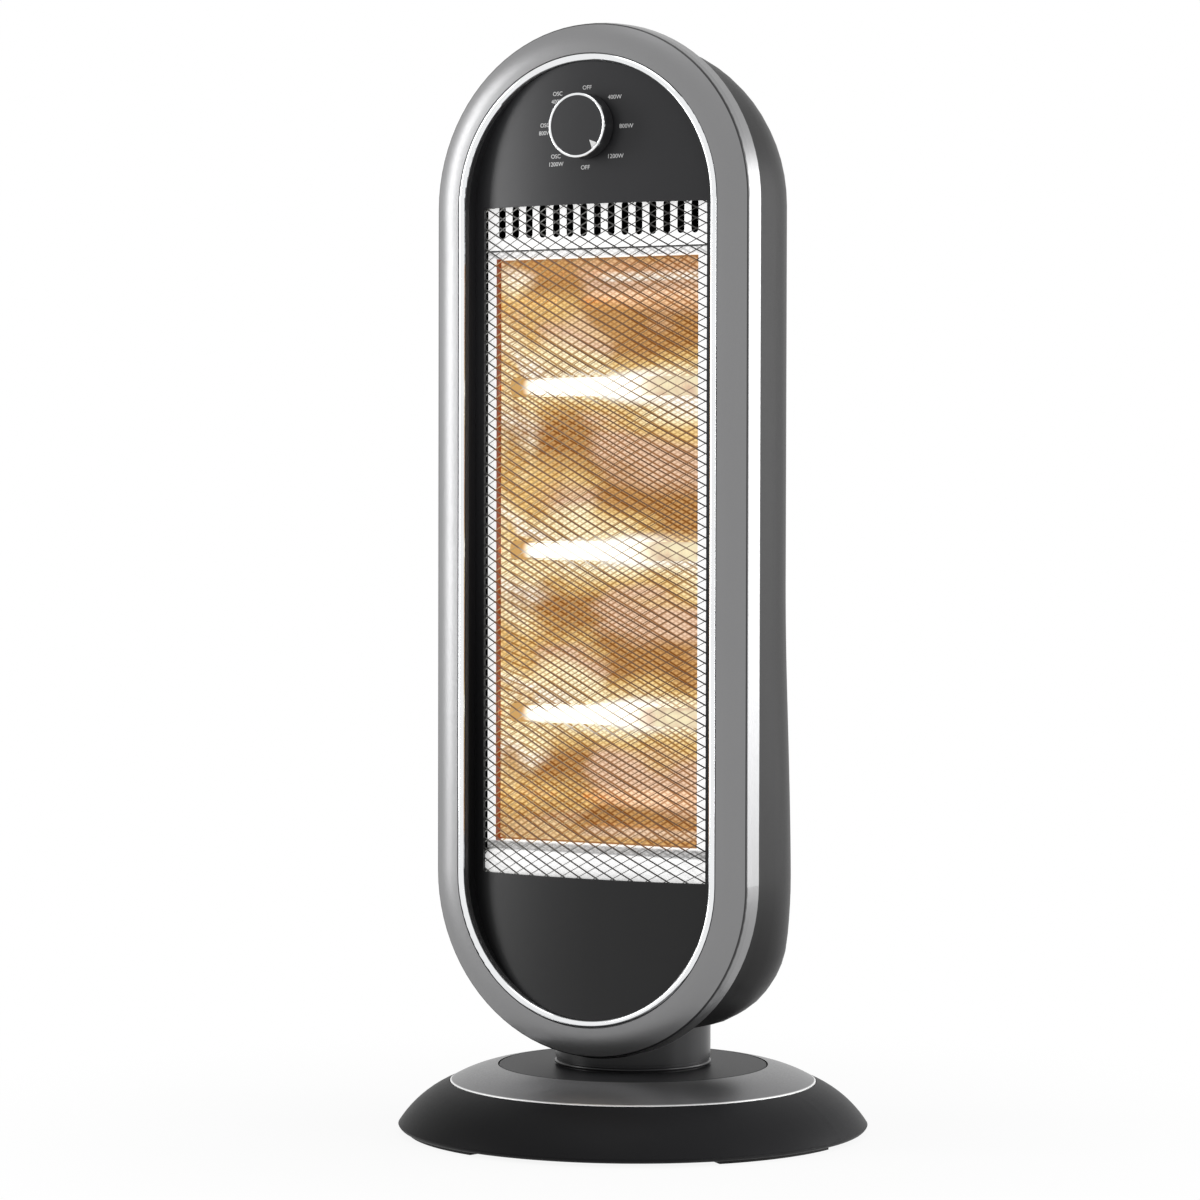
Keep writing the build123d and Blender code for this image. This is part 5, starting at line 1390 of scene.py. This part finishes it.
@dataclass
class Studio:
    """Plain white studio: floor, soft lamps, world and camera."""

    lens: float = 123.5
    sensor: float = 36.0
    distance: float = 2.171
    azimuth: float = 30.0
    eye_height: float = 0.33735
    roll: float = 0.0022
    aim: Span = (-0.0284, -0.09)
    floor_half: float = 6.0
    floor_tone: float = 0.8
    under_base: Span = (0.104, 0.112)
    fade_end: float = 0.45
    lamp_distance: float = 2.2
    lamps: ClassVar[tuple[tuple[str, Span, Span, float], ...]] = (
        ("key_left", (-58, 10), (0.6, 1.5), 21.0),
        ("fill_right", (100, 12), (0.6, 1.6), 20.0),
        ("top_soft", (0, 75), (1.2, 1.2), 8.0),
        ("edge_right", (134, 2), (1.4, 1.6), 42.0),
    )

    def floor(self) -> None:
        """Lay the pale floor, which keeps the contact shadow and fades to white."""
        bm = bmesh.new()
        bmesh.ops.create_grid(bm, x_segments=2, y_segments=2, size=self.floor_half)
        floor = piece_from(bm, "floor")
        material, graph = empty_material("floor_white")
        graph.tree.nodes.remove(graph.tree.nodes["Principled BSDF"])
        tone = (self.floor_tone, self.floor_tone, self.floor_tone, 1.0)
        matt = graph.add("BsdfDiffuse", {"Color": tone}).outputs["BSDF"]
        white = graph.add("Emission", {"Strength": 1.0}).outputs["Emission"]
        away = graph.add("VectorMath", {0: graph.place}, operation="LENGTH").outputs["Value"]
        clear = graph.step(away, *self.under_base, 0.5, 0.9)
        faded = graph.step(away, self.under_base[1], self.fade_end, 0.0, 0.1)
        shown = graph.math("MULTIPLY", graph.math("ADD", clear, faded), graph.seen_rays())
        mixed = graph.add("MixShader", {"Fac": shown, 1: matt, 2: white}).outputs["Shader"]
        graph.tree.links.new(mixed, graph.tree.nodes["Material Output"].inputs["Surface"])
        floor.data.materials.append(material)

    def world(self) -> None:
        """Set a white background over a soft grey fill light."""
        world = bpy.data.worlds.new("studio")
        bpy.context.scene.world = world
        world.use_nodes = True
        graph = Graph(world.node_tree)
        level = graph.add("MapRange", {"Value": graph.seen_rays(), "To Min": 0.5, "To Max": 1.0})
        inputs = {"Color": (1.0, 1.0, 1.0, 1.0), "Strength": level.outputs["Result"]}
        graph.feed(world.node_tree.nodes["Background"], inputs)

    def lamp(self, name: str, turn: Span, size: Span, power: float) -> None:
        """Hang one soft lamp that looks at the middle of the heater.

        Args:
            name: Name of the lamp.
            turn: Degrees round the heater, 0 in front and 90 at +X, and degrees above the horizon.
            size: Width and height of the lamp.
            power: Watts.
        """
        data = bpy.data.lights.new(name, "AREA")
        data.shape = "RECTANGLE"
        data.size, data.size_y = size
        data.energy = power
        lamp = bpy.data.objects.new(name, data)
        a, e = (math.radians(angle) for angle in turn)
        way = Vector((math.sin(a) * math.cos(e), -math.cos(a) * math.cos(e), math.sin(e)))
        lamp.location = Vector((0, 0, 0.3)) + way * self.lamp_distance
        lamp.rotation_euler = way.to_track_quat("Z", "Y").to_euler()
        bpy.context.collection.objects.link(lamp)

    def camera(self) -> None:
        """Stand the camera where the photograph was taken from."""
        data = bpy.data.cameras.new("camera")
        data.lens = self.lens
        data.sensor_width = self.sensor
        data.clip_end = 50.0
        camera = bpy.data.objects.new("camera", data)
        a = math.radians(self.azimuth)
        yaw, pitch = (math.atan(share * self.sensor / self.lens) for share in self.aim)
        spot = Vector((math.sin(a) * self.distance, -math.cos(a) * self.distance, self.eye_height))
        look = (Matrix.Rotation(a - yaw, 4, "Z") @ Matrix.Rotation(math.pi / 2 + pitch, 4, "X")
                @ Matrix.Rotation(self.roll, 4, "Z"))
        camera.matrix_world = Matrix.Translation(spot) @ look
        bpy.context.collection.objects.link(camera)
        bpy.context.scene.camera = camera

    def build(self) -> None:
        """Set up the whole studio."""
        bpy.context.scene.view_settings.view_transform = "Standard"
        self.floor()
        self.world()
        for row in self.lamps:
            self.lamp(*row)
        self.camera()


def main() -> None:
    """Build and dress every sub-assembly."""
    wardrobe = Wardrobe()
    for kind in (Base, Drive, Neck, Shell, Face, Dial, Reflector, Lamps, Guard):
        kind(wardrobe).build()
        log.info("%s dressed", kind.__name__)
    Studio().build()


if __name__ == "__main__":
    main()
